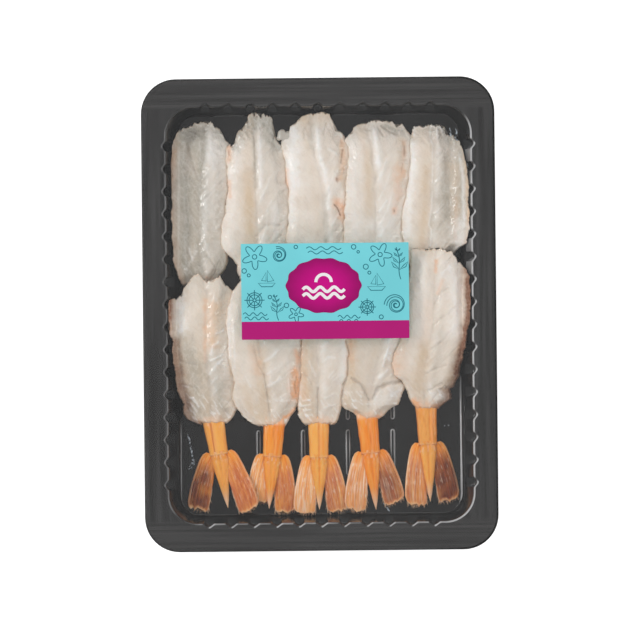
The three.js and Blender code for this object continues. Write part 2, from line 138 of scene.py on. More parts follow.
class Modeller:
    """Meshes made from primitives in edit mode, as by hand."""

    @staticmethod
    def only(*pieces: Piece) -> None:
        """Select some pieces alone and make the first of them active."""
        bpy.ops.object.select_all(action="DESELECT")
        for piece in pieces:
            piece.select_set(True)
        bpy.context.view_layer.objects.active = pieces[0] if pieces else None

    @staticmethod
    def grid(name: str, points: Array) -> Piece:
        """Add a grid and lay its vertices on points in millimetres.

        Args:
            name: name of the new object.
            points: one point for each row and column, as an array of rows x columns x 3.

        Returns:
            The new object, at the origin.
        """
        rows, columns = points.shape[:2]
        Modeller.only()
        bpy.ops.mesh.primitive_grid_add(x_subdivisions=columns - 1, y_subdivisions=rows - 1, size=2)
        obj = bpy.context.object
        obj.name = obj.data.name = name
        places = np.empty(rows * columns * 3)
        obj.data.vertices.foreach_get("co", places)
        places = places.reshape(-1, 3)
        order = np.lexsort((np.round(places[:, 0], 6), np.round(places[:, 1], 6)))
        laid = np.empty_like(places)
        laid[order] = points.reshape(-1, 3) * MM
        obj.data.vertices.foreach_set("co", laid.ravel())
        number = np.empty(rows * columns, dtype=np.float32)
        number[order] = np.arange(rows * columns)
        Modeller.mark(obj, "place", number)
        obj.data.update()
        return obj

    @staticmethod
    def mark(obj: Piece, name: str, values: Array) -> None:
        """Store a number or a vector for each vertex.

        Args:
            obj: the mesh object.
            name: name of the attribute.
            values: one row for each vertex, of one or three numbers.
        """
        kind = "FLOAT" if values.ndim == 1 else "FLOAT_VECTOR"
        attribute = obj.data.attributes.get(name) or obj.data.attributes.new(name, kind, "POINT")
        attribute.data.foreach_set("value" if kind == "FLOAT" else "vector", np.float32(values).ravel())

    @staticmethod
    def mark_grid(obj: Piece, name: str, values: Array) -> None:
        """Store values laid out as the grid's rows and columns, following each vertex's place in it."""
        place = np.empty(len(obj.data.vertices), dtype=np.float32)
        obj.data.attributes["place"].data.foreach_get("value", place)
        flat = values.reshape(-1) if values.ndim == 2 else values.reshape(-1, values.shape[-1])
        Modeller.mark(obj, name, flat[np.round(place).astype(int)])

    @staticmethod
    def edit(obj: Piece, *steps: Callable[[], object]) -> None:
        """Take steps in edit mode, each on the whole of a piece, and turn its faces outwards.

        Args:
            obj: the mesh object.
            steps: what to do in turn.
        """
        Modeller.only(obj)
        bpy.ops.object.mode_set(mode="EDIT")
        for step in (*steps, partial(bpy.ops.mesh.normals_make_consistent, inside=False)):
            bpy.ops.mesh.select_all(action="SELECT")
            step()
        bpy.ops.object.mode_set(mode="OBJECT")

    @staticmethod
    def weld(obj: Piece, fill: bool = True) -> None:
        """Merge doubled vertices, and close open ends by faces where fill says so."""
        merge = partial(bpy.ops.mesh.remove_doubles, threshold=MERGE_REACH * MM)
        Modeller.edit(obj, merge, *([partial(bpy.ops.mesh.fill_holes, sides=0)] if fill else []))

    @staticmethod
    def collar(name: str, outer: Array, inner: Array, z: float) -> Piece:
        """Fill the flat strip between two loops round the middle with triangles, walking both by their angle.

        Args:
            name: name of the new object.
            outer: points of the outer loop, each x and y.
            inner: points of the inner loop.
            z: the strip's height.

        Returns:
            The new object.
        """
        loops = [loop[np.argsort(np.arctan2(loop[:, 1], loop[:, 0]))] for loop in (outer, inner)]
        angles = [np.arctan2(loop[:, 1], loop[:, 0]) for loop in loops]
        counts = [len(loop) for loop in loops]
        steps = sorted((angle, side) for side in (0, 1) for angle in [*angles[side][1:], math.inf])
        at, faces = [0, 0], []
        for _, side in steps:
            corner = at[side] + 1
            new = corner % counts[side] + side * counts[0]
            faces.append((at[0] % counts[0], new, at[1] % counts[1] + counts[0]))
            at[side] = corner
        points = np.column_stack([np.concatenate(loops), np.full(sum(counts), z)])
        return Modeller.faced(name, points, faces)

    @staticmethod
    def thicken(obj: Piece, rise: float) -> None:
        """Extrude a whole sheet upwards by a rise in millimetres, which closes it."""
        lift = {"value": (0, 0, rise * MM)}
        Modeller.edit(obj, partial(bpy.ops.mesh.extrude_region_move, TRANSFORM_OT_translate=lift))

    @staticmethod
    def loose(name: str, data: bpy.types.Mesh | bpy.types.Curve) -> Piece:
        """Add a piece for a mesh or a curve made from points."""
        piece = bpy.data.objects.new(name, data)
        bpy.context.collection.objects.link(piece)
        return piece

    @staticmethod
    def faced(name: str, points: Array, faces: list[tuple[int, ...]]) -> Piece:
        """Add a piece of separate faces over points in millimetres."""
        mesh = bpy.data.meshes.new(name)
        mesh.from_pydata((points * MM).tolist(), [], faces)
        return Modeller.loose(name, mesh)

    @staticmethod
    def tube(name: str, points: Array) -> Piece:
        """Make a closed solid of rings, given as rows of points, and cap its two ends."""
        closed = np.concatenate([points, points[:, :1]], axis=1)
        return Modeller.grid(name, closed)

    @staticmethod
    def join(name: str, parts: list[Piece]) -> Piece:
        """Join objects into the first of them and rename it."""
        Modeller.only(*parts)
        bpy.ops.object.join()
        parts[0].name = parts[0].data.name = name
        return parts[0]

    @staticmethod
    def dress(obj: Piece, material: Material, angle: float = 40) -> None:
        """Give a piece its only material and smooth its shading up to an angle in degrees."""
        obj.data.materials.clear()
        obj.data.materials.append(material)
        Modeller.only(obj)
        bpy.ops.object.shade_smooth_by_angle(angle=math.radians(angle))
        Modeller.only()

    @staticmethod
    def place(obj: Piece, slot: str, *nodes: str) -> None:
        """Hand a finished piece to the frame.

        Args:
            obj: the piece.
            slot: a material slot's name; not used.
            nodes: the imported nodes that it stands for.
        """
        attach(obj, BODY)
        if nodes:
            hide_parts(*nodes)
        LOG.info("%s: %d faces", obj.name, len(obj.data.polygons))


def rounded_sheet(half_x: float, half_y: float, corner: float, step: float) -> Array:
    """A flat grid of a rectangle whose corner squares are drawn in to quarter circles.

    Args:
        half_x: half the width.
        half_y: half the length.
        corner: corner radius.
        step: the grid's spacing between the corners.

    Returns:
        Points as rows x columns x 2.
    """
    bend = np.linspace(0, 1, 7)

    def lines(half: float) -> Array:
        """Where the grid's lines lie along one direction."""
        inner = half - corner
        middle = np.linspace(-inner, inner, max(2, round(2 * inner / step) + 1))
        edge = inner + bend[1:] * corner
        return np.concatenate([-edge[::-1], middle, edge])

    x, y = np.meshgrid(lines(half_x), lines(half_y))
    a = np.clip((np.abs(x) - (half_x - corner)) / corner, 0, 1)
    b = np.clip((np.abs(y) - (half_y - corner)) / corner, 0, 1)
    in_x, in_y = a * corner * (1 - np.sqrt(1 - b * b / 2)), b * corner * (1 - np.sqrt(1 - a * a / 2))
    return np.stack([x - np.sign(x) * in_x, y - np.sign(y) * in_y], axis=-1)


# Shader maths


class Value:
    """A number socket that works in Python expressions."""

    def __init__(self, shader: Shader, socket: Socket) -> None:
        """Wrap a socket of a shader."""
        self.shader = shader
        self.socket = socket

    def __add__(self, other: Value | float) -> Value:
        """Add."""
        return self.shader.math("ADD", self, other)

    __radd__ = __add__

    def __sub__(self, other: Value | float) -> Value:
        """Take other away."""
        return self.shader.math("SUBTRACT", self, other)

    def __rsub__(self, other: Value | float) -> Value:
        """Take this away from other."""
        return self.shader.math("SUBTRACT", other, self)

    def __mul__(self, other: Value | float) -> Value:
        """Multiply."""
        return self.shader.math("MULTIPLY", self, other)

    __rmul__ = __mul__

    def __pow__(self, other: Value | float) -> Value:
        """Raise to a power."""
        return self.shader.math("POWER", self, other)

    def ease(self, low: float, high: float) -> Value:
        """Ease from 0 where this is low to 1 where it is high."""
        settings = {"interpolation_type": "SMOOTHSTEP"}
        inputs = {"Value": self, "From Min": low, "From Max": high}
        return self.shader.value("ShaderNodeMapRange", "Result", settings, inputs)


class Shader:
    """A material and its node tree."""

    def __init__(self, name: str, constants: dict[str, object]) -> None:
        """Start a material.

        Args:
            name: name of the material.
            constants: values set straight on the sockets of its Principled BSDF.
        """
        self.material = bpy.data.materials.new(name)
        self.material.use_nodes = True
        self.tree = self.material.node_tree
        self.surface = self.tree.nodes["Principled BSDF"]
        for socket, constant in constants.items():
            self.surface.inputs[socket].default_value = constant

    def node(self, kind: str, settings: dict[str, object], inputs: dict[str | int, object]) -> bpy.types.Node:
        """Add any node.

        Args:
            kind: the node's type.
            settings: properties set first. The key "stops" holds a ramp's places and colours.
            inputs: values or links of its sockets, by name or number.

        Returns:
            The node.
        """
        node = self.tree.nodes.new(kind)
        for name, setting in settings.items():
            if name == "stops":
                self.set_stops(node.color_ramp, setting)
            else:
                setattr(node, name, setting)
        for key, given in inputs.items():
            socket = node.inputs[key]
            if isinstance(given, Value):
                self.tree.links.new(given.socket, socket)
            elif isinstance(given, Socket):
                self.tree.links.new(given, socket)
            else:
                socket.default_value = given
        return node

    @staticmethod
    def set_stops(ramp: bpy.types.ColorRamp, stops: list[tuple[float, Colour]]) -> None:
        """Set a colour ramp's stops."""
        while len(ramp.elements) < len(stops):
            ramp.elements.new(0.5)
        for element, (place, colour) in zip(ramp.elements, stops):
            element.position = place
            element.color = (*colour, 1)

    def value(self, kind: str, output: str, settings: dict[str, object], inputs: dict) -> Value:
        """Add a node and wrap one of its outputs."""
        return Value(self, self.node(kind, settings, inputs).outputs[output])

    def math(self, operation: str, a: Value | float, b: Value | float = 0) -> Value:
        """Add a Math node."""
        return self.value("ShaderNodeMath", "Value", {"operation": operation}, {0: a, 1: b})

    def attribute(self, name: str, output: str = "Fac") -> Value:
        """Read an attribute of the mesh."""
        return self.value("ShaderNodeAttribute", output, {"attribute_name": name}, {})

    def parts(self, name: str) -> tuple[Value, Value, Value]:
        """Read the three numbers of a vector attribute."""
        return self.split(self.attribute(name, "Vector"))

    def split(self, vector: Value | Socket) -> tuple[Value, Value, Value]:
        """Take a vector's three numbers apart."""
        split = self.node("ShaderNodeSeparateXYZ", {}, {"Vector": vector})
        return tuple(Value(self, split.outputs[axis]) for axis in "XYZ")

    def where(self) -> Socket:
        """Object coordinates in metres."""
        return self.node("ShaderNodeTexCoord", {}, {}).outputs["Object"]

    def stretched(self, source: Socket, scale: tuple[float, float, float]) -> Socket:
        """Scale a vector along its axes."""
        inputs = {"Vector": source, "Scale": scale}
        return self.node("ShaderNodeMapping", {}, inputs).outputs["Vector"]

    def noise(self, source: Socket, scale: float, detail: float = 2) -> Value:
        """Noise from 0 to 1, with scale counted over a metre."""
        inputs = {"Vector": source, "Scale": scale, "Detail": detail}
        return self.value("ShaderNodeTexNoise", "Fac", {}, inputs)

    def blend(self, share: Value | float, a: object, b: object) -> Socket:
        """Mix two colours, given as sockets or as three numbers."""
        wide = lambda colour: (*colour, 1) if isinstance(colour, tuple) else colour
        node = self.node("ShaderNodeMix", {"data_type": "RGBA"}, {0: share, 6: wide(a), 7: wide(b)})
        return node.outputs[2]

    def layers(self, base: object, *coats: tuple[Value | float, object]) -> Socket:
        """Lay coats over a base colour one after the other, each a share and a colour."""
        for share, colour in coats:
            base = self.blend(share, base, colour)
        return base

    def link(self, socket: str, source: Value | Socket) -> None:
        """Feed one input of the surface."""
        given = source.socket if isinstance(source, Value) else source
        self.tree.links.new(given, self.surface.inputs[socket])

    def bump(self, height: Value, depth: float, strength: float = 1) -> None:
        """Feed the surface's normal from a height.

        Args:
            height: the relief, from 0 to 1.
            depth: its depth in millimetres.
            strength: how much of it shows.
        """
        inputs = {"Height": height, "Distance": depth * MM, "Strength": strength}
        self.link("Normal", self.node("ShaderNodeBump", {}, inputs).outputs["Normal"])


# Finishes


@dataclass(frozen=True)
class TrayPlastic:
    """Black formed plastic: satin on the flange, where the seal presses it, and glossy in the well. Painted
    highlights lie on the lip, the right wall, the wall's foot and the floor's ribs, and painted shade lies on
    the flange's outer edge.
    """

    colour: Colour = (0.006, 0.0054, 0.0052)
    scuffed: Colour = (0.036, 0.0345, 0.0345)
    worn: Colour = (0.065, 0.062, 0.060)
    # colour of the painted highlights on the lip, the right wall, the wall's foot and the floor's ribs
    stretched: Colour = (0.42, 0.42, 0.425)
    knurl: float = 1.1
    flange_height: float = 15.9
    seal_lines: Point = (84.3, -85.7)
    end_wall: float = 83.6

    def material(self) -> Material:
        """Build the material."""
        shader = Shader("tray_plastic", {"Specular IOR Level": 0.3, "Coat Roughness": 0.06, "IOR": 1.5})
        where = shader.where()
        x, y, z = self.axes(shader, where)
        flange = z.ease(self.flange_height * MM, (self.flange_height + 0.09) * MM)
        cloud = shader.noise(where, 26, 3)
        on_end = shader.math("ABSOLUTE", y).ease((self.end_wall - 2) * MM, self.end_wall * MM)
        lengthwise = shader.noise(shader.stretched(where, (420, 14, 1)), 1, 3)
        crosswise = shader.noise(shader.stretched(where, (14, 900, 1)), 1, 3)
        streaks = on_end * crosswise + (1 - on_end) * lengthwise
        turn = 2 * math.pi / (self.knurl * MM)
        ridges = shader.math("SINE", x * turn) * shader.math("SINE", y * turn)
        press = 0.5 + 0.5 * ridges * cloud.ease(0.4, 0.6)
        lines = sum((self.near(shader, y, place, 0.25) for place in self.seal_lines), 0 * y)
        base = shader.blend(flange * streaks.ease(0.3, 0.75), self.colour, self.scuffed)
        base = shader.blend(flange * (0.55 * lines + 0.25 * press * on_end), base, self.worn)
        # Painted light from the mesh: above 0 a painted highlight in the light grey colour, below 0 painted
        # shade that turns the flange's outer edge black and metallic.
        painted_light = shader.attribute("painted_light")
        rim = (0 - painted_light).ease(0, 1)
        base = shader.blend(painted_light.ease(0, 1), base, self.stretched)
        shader.link("Base Color", shader.blend(rim, base, (0, 0, 0)))
        shader.link("Metallic", rim)
        shader.link("Roughness", 0.13 + 0.27 * flange + 0.08 * cloud)
        shader.link("Coat Weight", 0.1 * (1 - flange))
        shader.bump(flange * (0.4 * press * on_end + 0.5 * streaks) + 0.2 * cloud, 0.1, 0.5)
        return shader.material

    @staticmethod
    def near(shader: Shader, y: Value, place: float, width: float) -> Value:
        """A thin line across the tray: 1 on it and 0 a width away."""
        return 1 - shader.math("ABSOLUTE", y - place * MM).ease(0, width * MM)

    @staticmethod
    def axes(shader: Shader, where: Socket) -> tuple[Value, Value, Value]:
        """Split object coordinates."""
        return shader.split(where)


@dataclass(frozen=True)
class ClearFilm:
    """Clear lidding film: nearly invisible, a little cloudy, with a soft shine."""

    colour: Colour = (0.95, 0.96, 0.97)
    clearness: float = 0.972

    def material(self) -> Material:
        """Build the material."""
        constants = {"Base Color": (*self.colour, 1), "Metallic": 0.9, "Roughness": 0.3}
        shader = Shader("lidding_film", constants)
        where = shader.where()
        cloud = shader.noise(where, 18, 3)
        tight = shader.noise(shader.stretched(where, (90, 14, 1)), 1, 2)
        shader.link("Alpha", (1 - self.clearness) * (0.55 + 0.9 * cloud))
        shader.bump(tight, 0.25, 0.25)
        return shader.material


@dataclass(frozen=True)
class Ink:
    """One flat colour of print on label paper, with faint uneven cover."""

    name: str
    colour: Colour
    shade: float = 0.93

    def material(self) -> Material:
        """Build the material."""
        shader = Shader(self.name, {"Roughness": 0.5, "Specular IOR Level": 0.2})
        where = shader.where()
        patches = shader.noise(where, 45, 3)
        darker, deepest = (tuple(channel * shade for channel in self.colour) for shade in (self.shade, 0.5))
        base = shader.blend(patches.ease(0.3, 0.7), darker, self.colour)
        shader.link("Base Color", shader.blend(shader.attribute("edge"), base, deepest))
        fibre = shader.noise(shader.stretched(where, (900, 2400, 900)), 1, 2)
        shader.bump(fibre, 0.02, 0.35)
        return shader.material


@dataclass(frozen=True)
class RawFlesh:
    """Wet raw shrimp: milky where thick, glassy grey where thin, with orange and pink stains.

    The mesh's "tone" holds glass, blush and tan, its "mark" holds white (with painted highlights and glints),
    dark line (with painted shade in creases) and brown (with painted shade on the side against the wall), and
    its "grain" holds the run along the muscle's fibres and the place across them.
    """

    milk: Colour = (0.875, 0.79, 0.705)
    milk_shade: Colour = (0.785, 0.69, 0.595)
    white: Colour = (0.96, 0.94, 0.915)
    glass: Colour = (0.40, 0.375, 0.315)
    tan: Colour = (0.70, 0.54, 0.38)
    blush: Colour = (0.86, 0.45, 0.235)
    line: Colour = (0.36, 0.29, 0.24)
    brown: Colour = (0.22, 0.085, 0.04)

    def material(self) -> Material:
        """Build the material."""
        constants = {
            "Subsurface Weight": 0.2,
            "Subsurface Radius": (1, 0.7, 0.55),
            "Subsurface Scale": 0.7 * MM,
            "Coat Roughness": 0.05,
            "IOR": 1.38,
        }
        shader = Shader("raw_flesh", constants)
        glass, blush, tan = shader.parts("tone")
        white, line, brown = shader.parts("mark")
        where = shader.where()
        grain = shader.attribute("grain", "Vector").socket
        fibre = shader.noise(shader.stretched(grain, (0.25, 0.8, 1)), 1, 4)
        cloud = shader.noise(where, 160, 5)
        speck = shader.noise(where, 1100, 3)
        web = shader.noise(shader.stretched(where, (420, 230, 300)), 1, 4)
        veins = 1 - shader.math("ABSOLUTE", web - 0.5).ease(0, 0.05)
        base = shader.layers(
            shader.blend(cloud.ease(0.3, 0.68), self.milk_shade, self.milk),
            (glass * (0.5 + 0.8 * cloud), self.glass),
            (tan * (0.3 + 1.1 * cloud), self.tan),
            (fibre.ease(0.5, 0.74) * (0.1 + 0.05 * glass), self.white),
            ((1 - fibre).ease(0.52, 0.78) * 0.1, self.line),
            (veins * (0.04 + 0.12 * glass), self.white),
            (web.ease(0.56, 0.72) * (0.1 + 0.16 * glass), self.line),
            (white * (0.55 + 0.8 * speck), self.white),
            (blush * (0.4 + 1.1 * cloud), self.blush),
            (line * (0.6 + 0.7 * speck), self.line),
            (brown * (0.5 + 0.8 * speck), self.brown),
        )
        shader.link("Base Color", base)
        shader.link("Roughness", 0.34 + 0.2 * cloud - 0.1 * glass + 0.3 * brown)
        shader.link("Coat Weight", (0.2 + 0.3 * glass + 0.4 * speck.ease(0.5, 0.7)) * (1 - brown))
        shader.bump(0.15 * fibre + (0.45 + 0.5 * glass) * speck + 0.4 * cloud + 0.35 * veins, 0.25, 0.6)
        return shader.material


@dataclass(frozen=True)
class TailShell:
    """Wet tail shell, from pale gold over orange and salmon to dark red brown.

    The mesh's "tone" holds orange, salmon and brown, its "mark" holds red line, white (with painted glints
    and a painted highlight on the stem's keel) and shine, and its "grain" holds the run along the shell and
    the place across it.
    """

    gold: Colour = (0.94, 0.46, 0.095)
    orange: Colour = (0.93, 0.25, 0.008)
    salmon: Colour = (0.60, 0.15, 0.045)
    brown: Colour = (0.17, 0.03, 0.006)
    red: Colour = (0.47, 0.075, 0.018)
    light: Colour = (0.94, 0.46, 0.21)
    white: Colour = (0.96, 0.74, 0.56)

    def material(self) -> Material:
        """Build the material."""
        constants = {
            "Subsurface Weight": 0.12,
            "Subsurface Radius": (1, 0.4, 0.2),
            "Subsurface Scale": 0.9 * MM,
            "Specular IOR Level": 0.12,
            "Coat Roughness": 0.06,
            "IOR": 1.45,
        }
        shader = Shader("tail_shell", constants)
        orange, salmon, brown = shader.parts("tone")
        red, white, shine = shader.parts("mark")
        where = shader.where()
        grain = shader.attribute("grain", "Vector").socket
        fibre = shader.noise(shader.stretched(grain, (1.3, 0.12, 1)), 1, 5)
        fine = shader.noise(shader.stretched(grain, (0.9, 0.3, 1)), 1, 6)
        cloud = shader.noise(where, 260, 4)
        lively = 0.1 + 0.9 * salmon
        base = shader.layers(
            shader.blend(orange * (0.4 + 1.1 * fibre), self.gold, self.orange),
            (salmon * (0.45 + 0.85 * fibre), self.salmon),
            (lively * (1 - fine).ease(0.48, 0.66) * 0.5, self.red),
            (lively * fine.ease(0.5, 0.66) * cloud.ease(0.3, 0.7) * 0.75, self.light),
            (brown * (0.35 + 1.1 * cloud), self.brown),
            (red, self.red),
            (white * (0.4 + 0.9 * fibre), self.white),
        )
        shader.link("Base Color", base)
        shader.link("Roughness", 0.26 + 0.2 * cloud)
        shader.link("Coat Weight", 0.04 + 0.26 * shine)
        shader.bump(0.7 * fibre + 0.4 * cloud + 0.4 * fine, 0.1, 0.6)
        return shader.material


@dataclass(frozen=True)
class ClearJuice:
    """Clear juice and threads of flesh lying in beads and streaks on the plastic, its bluish grey colour a
    painted reflection of the room.
    """

    def material(self) -> Material:
        """Build the material."""
        # The bluish grey base colour is painted reflection on the clear juice.
        constants = {"Base Color": (0.5, 0.56, 0.62, 1), "Coat Weight": 0.8, "Roughness": 0.15}
        shader = Shader("clear_juice", constants)
        shader.link("Alpha", shader.noise(shader.where(), 900, 3).ease(0.42, 0.68))
        return shader.material


# The tray


@dataclass
class FormedTray:
    """The black tray as one formed sheet, with a rounded lip, upright flutes and a ribbed, pocketed floor."""

    width: float = 142.0
    length: float = 190.0
    height: float = 16.0
    sheet: float = 0.8
    corner: float = 14.0
    flange_side: float = 9.8
    flange_end: float = 11.4
    well_corner: float = 11.5
    floor_corner: float = 8.0
    draft_side: float = 3.9
    draft_end: float = 2.2
    foot_fillet: float = 1.5
    scallop_starts: tuple[Point, ...] = ((-1.3, 0.0), (-0.9, 0.4), (-0.6, 0.72), (-0.2, 0.93), (0.3, 1.0))
    foot_turns: tuple[float, ...] = (0.0, 0.35, 0.5, 0.62, 0.95, 1.1, 1.3, math.pi / 2)
    edge_profile: tuple[Point, ...] = (
        (0.95, 0), (0.8, 0), (0.6, 0.02), (0.3, 0.14), (0.08, 0.34), (0, 0.55), (0.14, 0.8),
    )
    lip: float = 0.7
    # direction the lip faces where its painted highlight is strongest, and that highlight's least share
    painted_highlight_side: Point = (-0.88, 0.48)
    least_painted_highlight: float = 0.3
    flute_radius: float = 1.9
    flute_set_back: float = 0.5
    scallop: float = 1.35
    scallop_reach: float = 2.6
    scallop_fade: float = 0.9
    flute_pitch: float = 9.07
    flutes_per_side: int = 16
    flutes_per_end: int = 11
    ledge: float = 8.2
    floor_top: float = 1.8
    pocket_width: float = 16.6
    pocket_length: float = 18.2
    pocket_depth: float = 1.0
    pitch_x: float = 18.1
    pitch_y: float = 22.4
    rib_shift: float = 1.9
    columns: int = 5
    rows: int = 6
    bar_height: float = 0.5
    rib_steps: tuple[float, ...] = (0.0, 0.3, 0.45, 0.6, 0.75, 0.9, 1.2, 1.7, 2.8, 4.8)
    bar_steps: tuple[float, ...] = (0.0, 0.9, 1.5, 1.9, 2.2, 2.5, 3.0, 3.8, 5.2, 8.0)
    corner_steps: int = 12

    def outline(self, z: float, grow: float, openness: float) -> Array:
        """The wall's outline at a height.

        Args:
            z: the height.
            grow: how far the outline is moved outwards.
            openness: how far the flutes stand out, from 0, closed, to 1.

        Returns:
            Points in order round the tray, always as many.
        """
        down = (self.height - z) / (self.height - self.floor_top)
        draws = (self.draft_end * down, self.draft_side * down)
        half_x = self.width / 2 - self.flange_side - draws[1] + grow
        half_y = self.length / 2 - self.flange_end - draws[0] + grow
        corner = mix(self.well_corner, self.floor_corner, min(1, down)) + grow
        return self.round_trip(half_x, half_y, corner, lambda end: self.flute(draws[not end], grow, openness))

    def rim(self, inset: float) -> Array:
        """The flange's outline drawn in by an inset, with as many points as the wall's outline."""
        stretch = (self.length - 2 * self.corner) / (self.length - 2 * (self.flange_end + self.well_corner))
        half_x, half_y = self.width / 2 - inset, self.length / 2 - inset
        flat = lambda end: self.flute(0, 0, 0)
        return self.round_trip(half_x, half_y, self.corner - inset, flat, stretch)

    def round_trip(
        self, half_x: float, half_y: float, corner: float, flute: Flute, stretch: float = 1
    ) -> Array:
        """Go round a rounded rectangle, with a flute at each pitch of its sides.

        Args:
            half_x: half the width.
            half_y: half the length.
            corner: corner radius.
            flute: gives one flute's steps along and out of the wall, for an end wall or a side wall.
            stretch: how much the pitch is stretched.

        Returns:
            Points in order, anticlockwise from the right.
        """
        points: list[Point] = []
        for quarter in range(4):
            end = quarter % 2 == 0
            edge = half_y if end else half_x
            out = (round(-math.sin(math.pi / 2 * quarter)), round(math.cos(math.pi / 2 * quarter)))
            along = (-out[1], out[0])
            cx, cy = (out[0] - along[0]) * (half_x - corner), (out[1] - along[1]) * (half_y - corner)
            for k in range(self.corner_steps + 1):
                angle = math.pi / 2 * (quarter + k / self.corner_steps)
                points.append((cx + corner * math.cos(angle), cy + corner * math.sin(angle)))
            count = self.flutes_per_end if end else self.flutes_per_side
            steps = flute(end)
            for k in range(count):
                middle = (k - (count - 1) / 2) * self.flute_pitch
                for step, outwards in steps:
                    run = (middle + step) * stretch
                    reach = edge + outwards
                    points.append((along[0] * run + out[0] * reach, along[1] * run + out[1] * reach))
        return np.array(points)

    def flute(self, draw_in: float, grow: float, openness: float) -> list[Point]:
        """One flute in plan, upright while the wall draws in, as steps along the wall and out of it."""
        radius = self.flute_radius + grow
        centre = draw_in - self.flute_set_back - grow
        reach = math.acos(-centre / radius) if centre < 0 else math.pi / 2
        half_chord = radius * math.sin(reach)
        shares = np.linspace(-0.95, 0.95, 11)
        foot = openness * max(0, 0.3 * centre)
        steps = [-half_chord - 0.6, -half_chord - 0.14, -half_chord - 0.01]
        steps += [radius * math.sin(share * reach) for share in shares]
        steps += [-step for step in reversed(steps[:3])]
        arc = [0, 0, foot, *(openness * (centre + radius * math.cos(share * reach)) for share in shares)]
        arc += [foot, 0, 0]
        upright = float(smooth(0, self.scallop_fade, draw_in))
        wide = np.linspace(-1, 1, len(steps))
        waves = openness * self.scallop * (0.5 + 0.5 * np.cos(math.pi * wide))
        return [
            (mix(self.scallop_reach * w, step, upright), mix(rise, out, upright))
            for w, step, rise, out in zip(wide, steps, waves, arc)
        ]

    def rings(self) -> tuple[Array, Array]:
        """The sheet's rings: up the wall from the inside's foot, over lip and flange, and down the outside.

        Returns:
            The rings' points, and the painted light at each: painted highlight above 0, painted shade below
            0.
        """
        top, under = self.height, self.height - self.sheet
        ledge = top - self.ledge
        rings: list[tuple[Array, float]] = []

        def ring(z: float, grow: float = 0, openness: float = 1) -> None:
            """Add the wall's outline at a height."""
            rings.append((self.outline(z, grow, openness), z))

        def foot(turn: float, bottom: float, grow: float) -> None:
            """Add a ring of the fillet at the wall's foot."""
            fillet = self.foot_fillet
            ring(bottom + fillet * (1 - math.cos(turn)), grow - fillet * (1 - math.sin(turn)), 0)

        for turn in self.foot_turns:
            foot(turn, self.floor_top, 0)
        for step, openness in self.scallop_starts:
            ring(ledge + step, 0, openness)
        for z in (ledge + 1.5, 11, 13, 14.4):
            ring(z)
        lip_start = len(rings)
        for turn in np.linspace(0, math.pi / 2, 8):
            ring(top - self.lip * (1 - math.sin(turn)), self.lip * (1 - math.cos(turn)))
        lip_end = len(rings)
        ring(top, self.lip + 0.12)
        ring(top, 3.4, 0)
        edge_start = len(rings)
        rings += [(self.rim(inset), top - drop) for inset, drop in self.edge_profile]
        ring(under, self.sheet + self.lip)
        ring(under - self.lip, self.sheet)
        ring(ledge - self.sheet, self.sheet)
        ring(ledge - 2.1, self.sheet, 0)
        for turn in np.linspace(math.pi / 2, 0, 4):
            foot(turn, self.floor_top - self.sheet, self.sheet)
        painted_light = np.zeros((len(rings), len(rings[0][0])))
        # A painted sheen on the right wall below the lip, standing in for its wet glints.
        wet = rings[lip_start - 3][0]
        painted_wet_sheen = smooth(57, 59, wet[:, 0]) * smooth(8, 18, wet[:, 1]) * smooth(70, 64, wet[:, 1])
        painted_light[lip_start - 4:lip_start + 2] = painted_wet_sheen * (0.4 + 0.3 * Noise(9).at(wet[:, 0], wet[:, 1], 3))
        # Painted highlight along the lip.
        painted_light[lip_start + 2:lip_end - 1] = self.painted_lip_highlight(rings[lip_start][0])
        # Painted highlight on the bend at the wall's foot.
        painted_light[2], painted_light[3] = (self.painted_foot_highlight(rings[3][0], seed) for seed in (6, 7))
        # Painted shade on the flange's outer edge, strongest on the right side.
        for place in range(edge_start + 1, edge_start + len(self.edge_profile)):
            painted_light[place] = -mix(0.3, 1, smooth(40, 68, rings[place][0][:, 0]))
        return np.array([np.column_stack([points, np.full(len(points), z)]) for points, z in rings]), painted_light

    def painted_lip_highlight(self, ring: Array) -> Array:
        """The painted highlight along the lip's outline: most where it faces the back left, towards the key
        light.
        """
        ahead = np.roll(ring, -1, axis=0) - np.roll(ring, 1, axis=0)
        ahead = ahead / np.maximum(np.hypot(*ahead.T)[:, None], 1e-9)
        facing = np.column_stack([-ahead[:, 1], ahead[:, 0]]) @ np.array(self.painted_highlight_side)
        away = mix(0.25, 1, smooth(-0.1, -0.6, facing))
        least = self.least_painted_highlight * away * mix(0.3, 1, smooth(83, 70, ring[:, 1]))
        # uneven strength of the painted highlight
        worn = 1 + 0.35 * Noise(5).at(ring[:, 0], ring[:, 1], 7)
        return worn * (least + (1 - least) * smooth(0.2, 0.85, facing))

    @staticmethod
    def painted_foot_highlight(ring: Array, seed: int) -> Array:
        """The painted highlight on the bend at the wall's foot: a strong line on the right and a faint one on
        the left.
        """
        x, y = ring.T
        # uneven strength of the painted highlight
        worn = 1 + 0.8 * Noise(seed).at(x, y, 40, 4)
        right = smooth(52, 56, x) * smooth(-26, -29, y) * smooth(-77, -73, y)
        left = smooth(-52, -56, x) * smooth(-42, -50, y) * smooth(-78, -70, y)
        bright = 1 + 1.2 * smooth(-52, -64, y)
        return worn * (1.9 * bright * right + 0.45 * left)

    def lines(self, pitch: float, count: int, steps: tuple[float, ...], reach: float, shift: float) -> Array:
        """Grid lines across the floor, close together at the edges of the ribs."""
        places = {-reach, reach}
        for k in range(count + 1):
            rib = (k - count / 2) * pitch + shift
            places.update(rib + side * step for step in steps for side in (-1, 1))
        places.update((k - (count - 1) / 2) * pitch for k in range(count))
        kept = [place for place in sorted(places) if abs(place) <= reach]
        return np.array([place for i, place in enumerate(kept) if i == 0 or place - kept[i - 1] > 0.05])

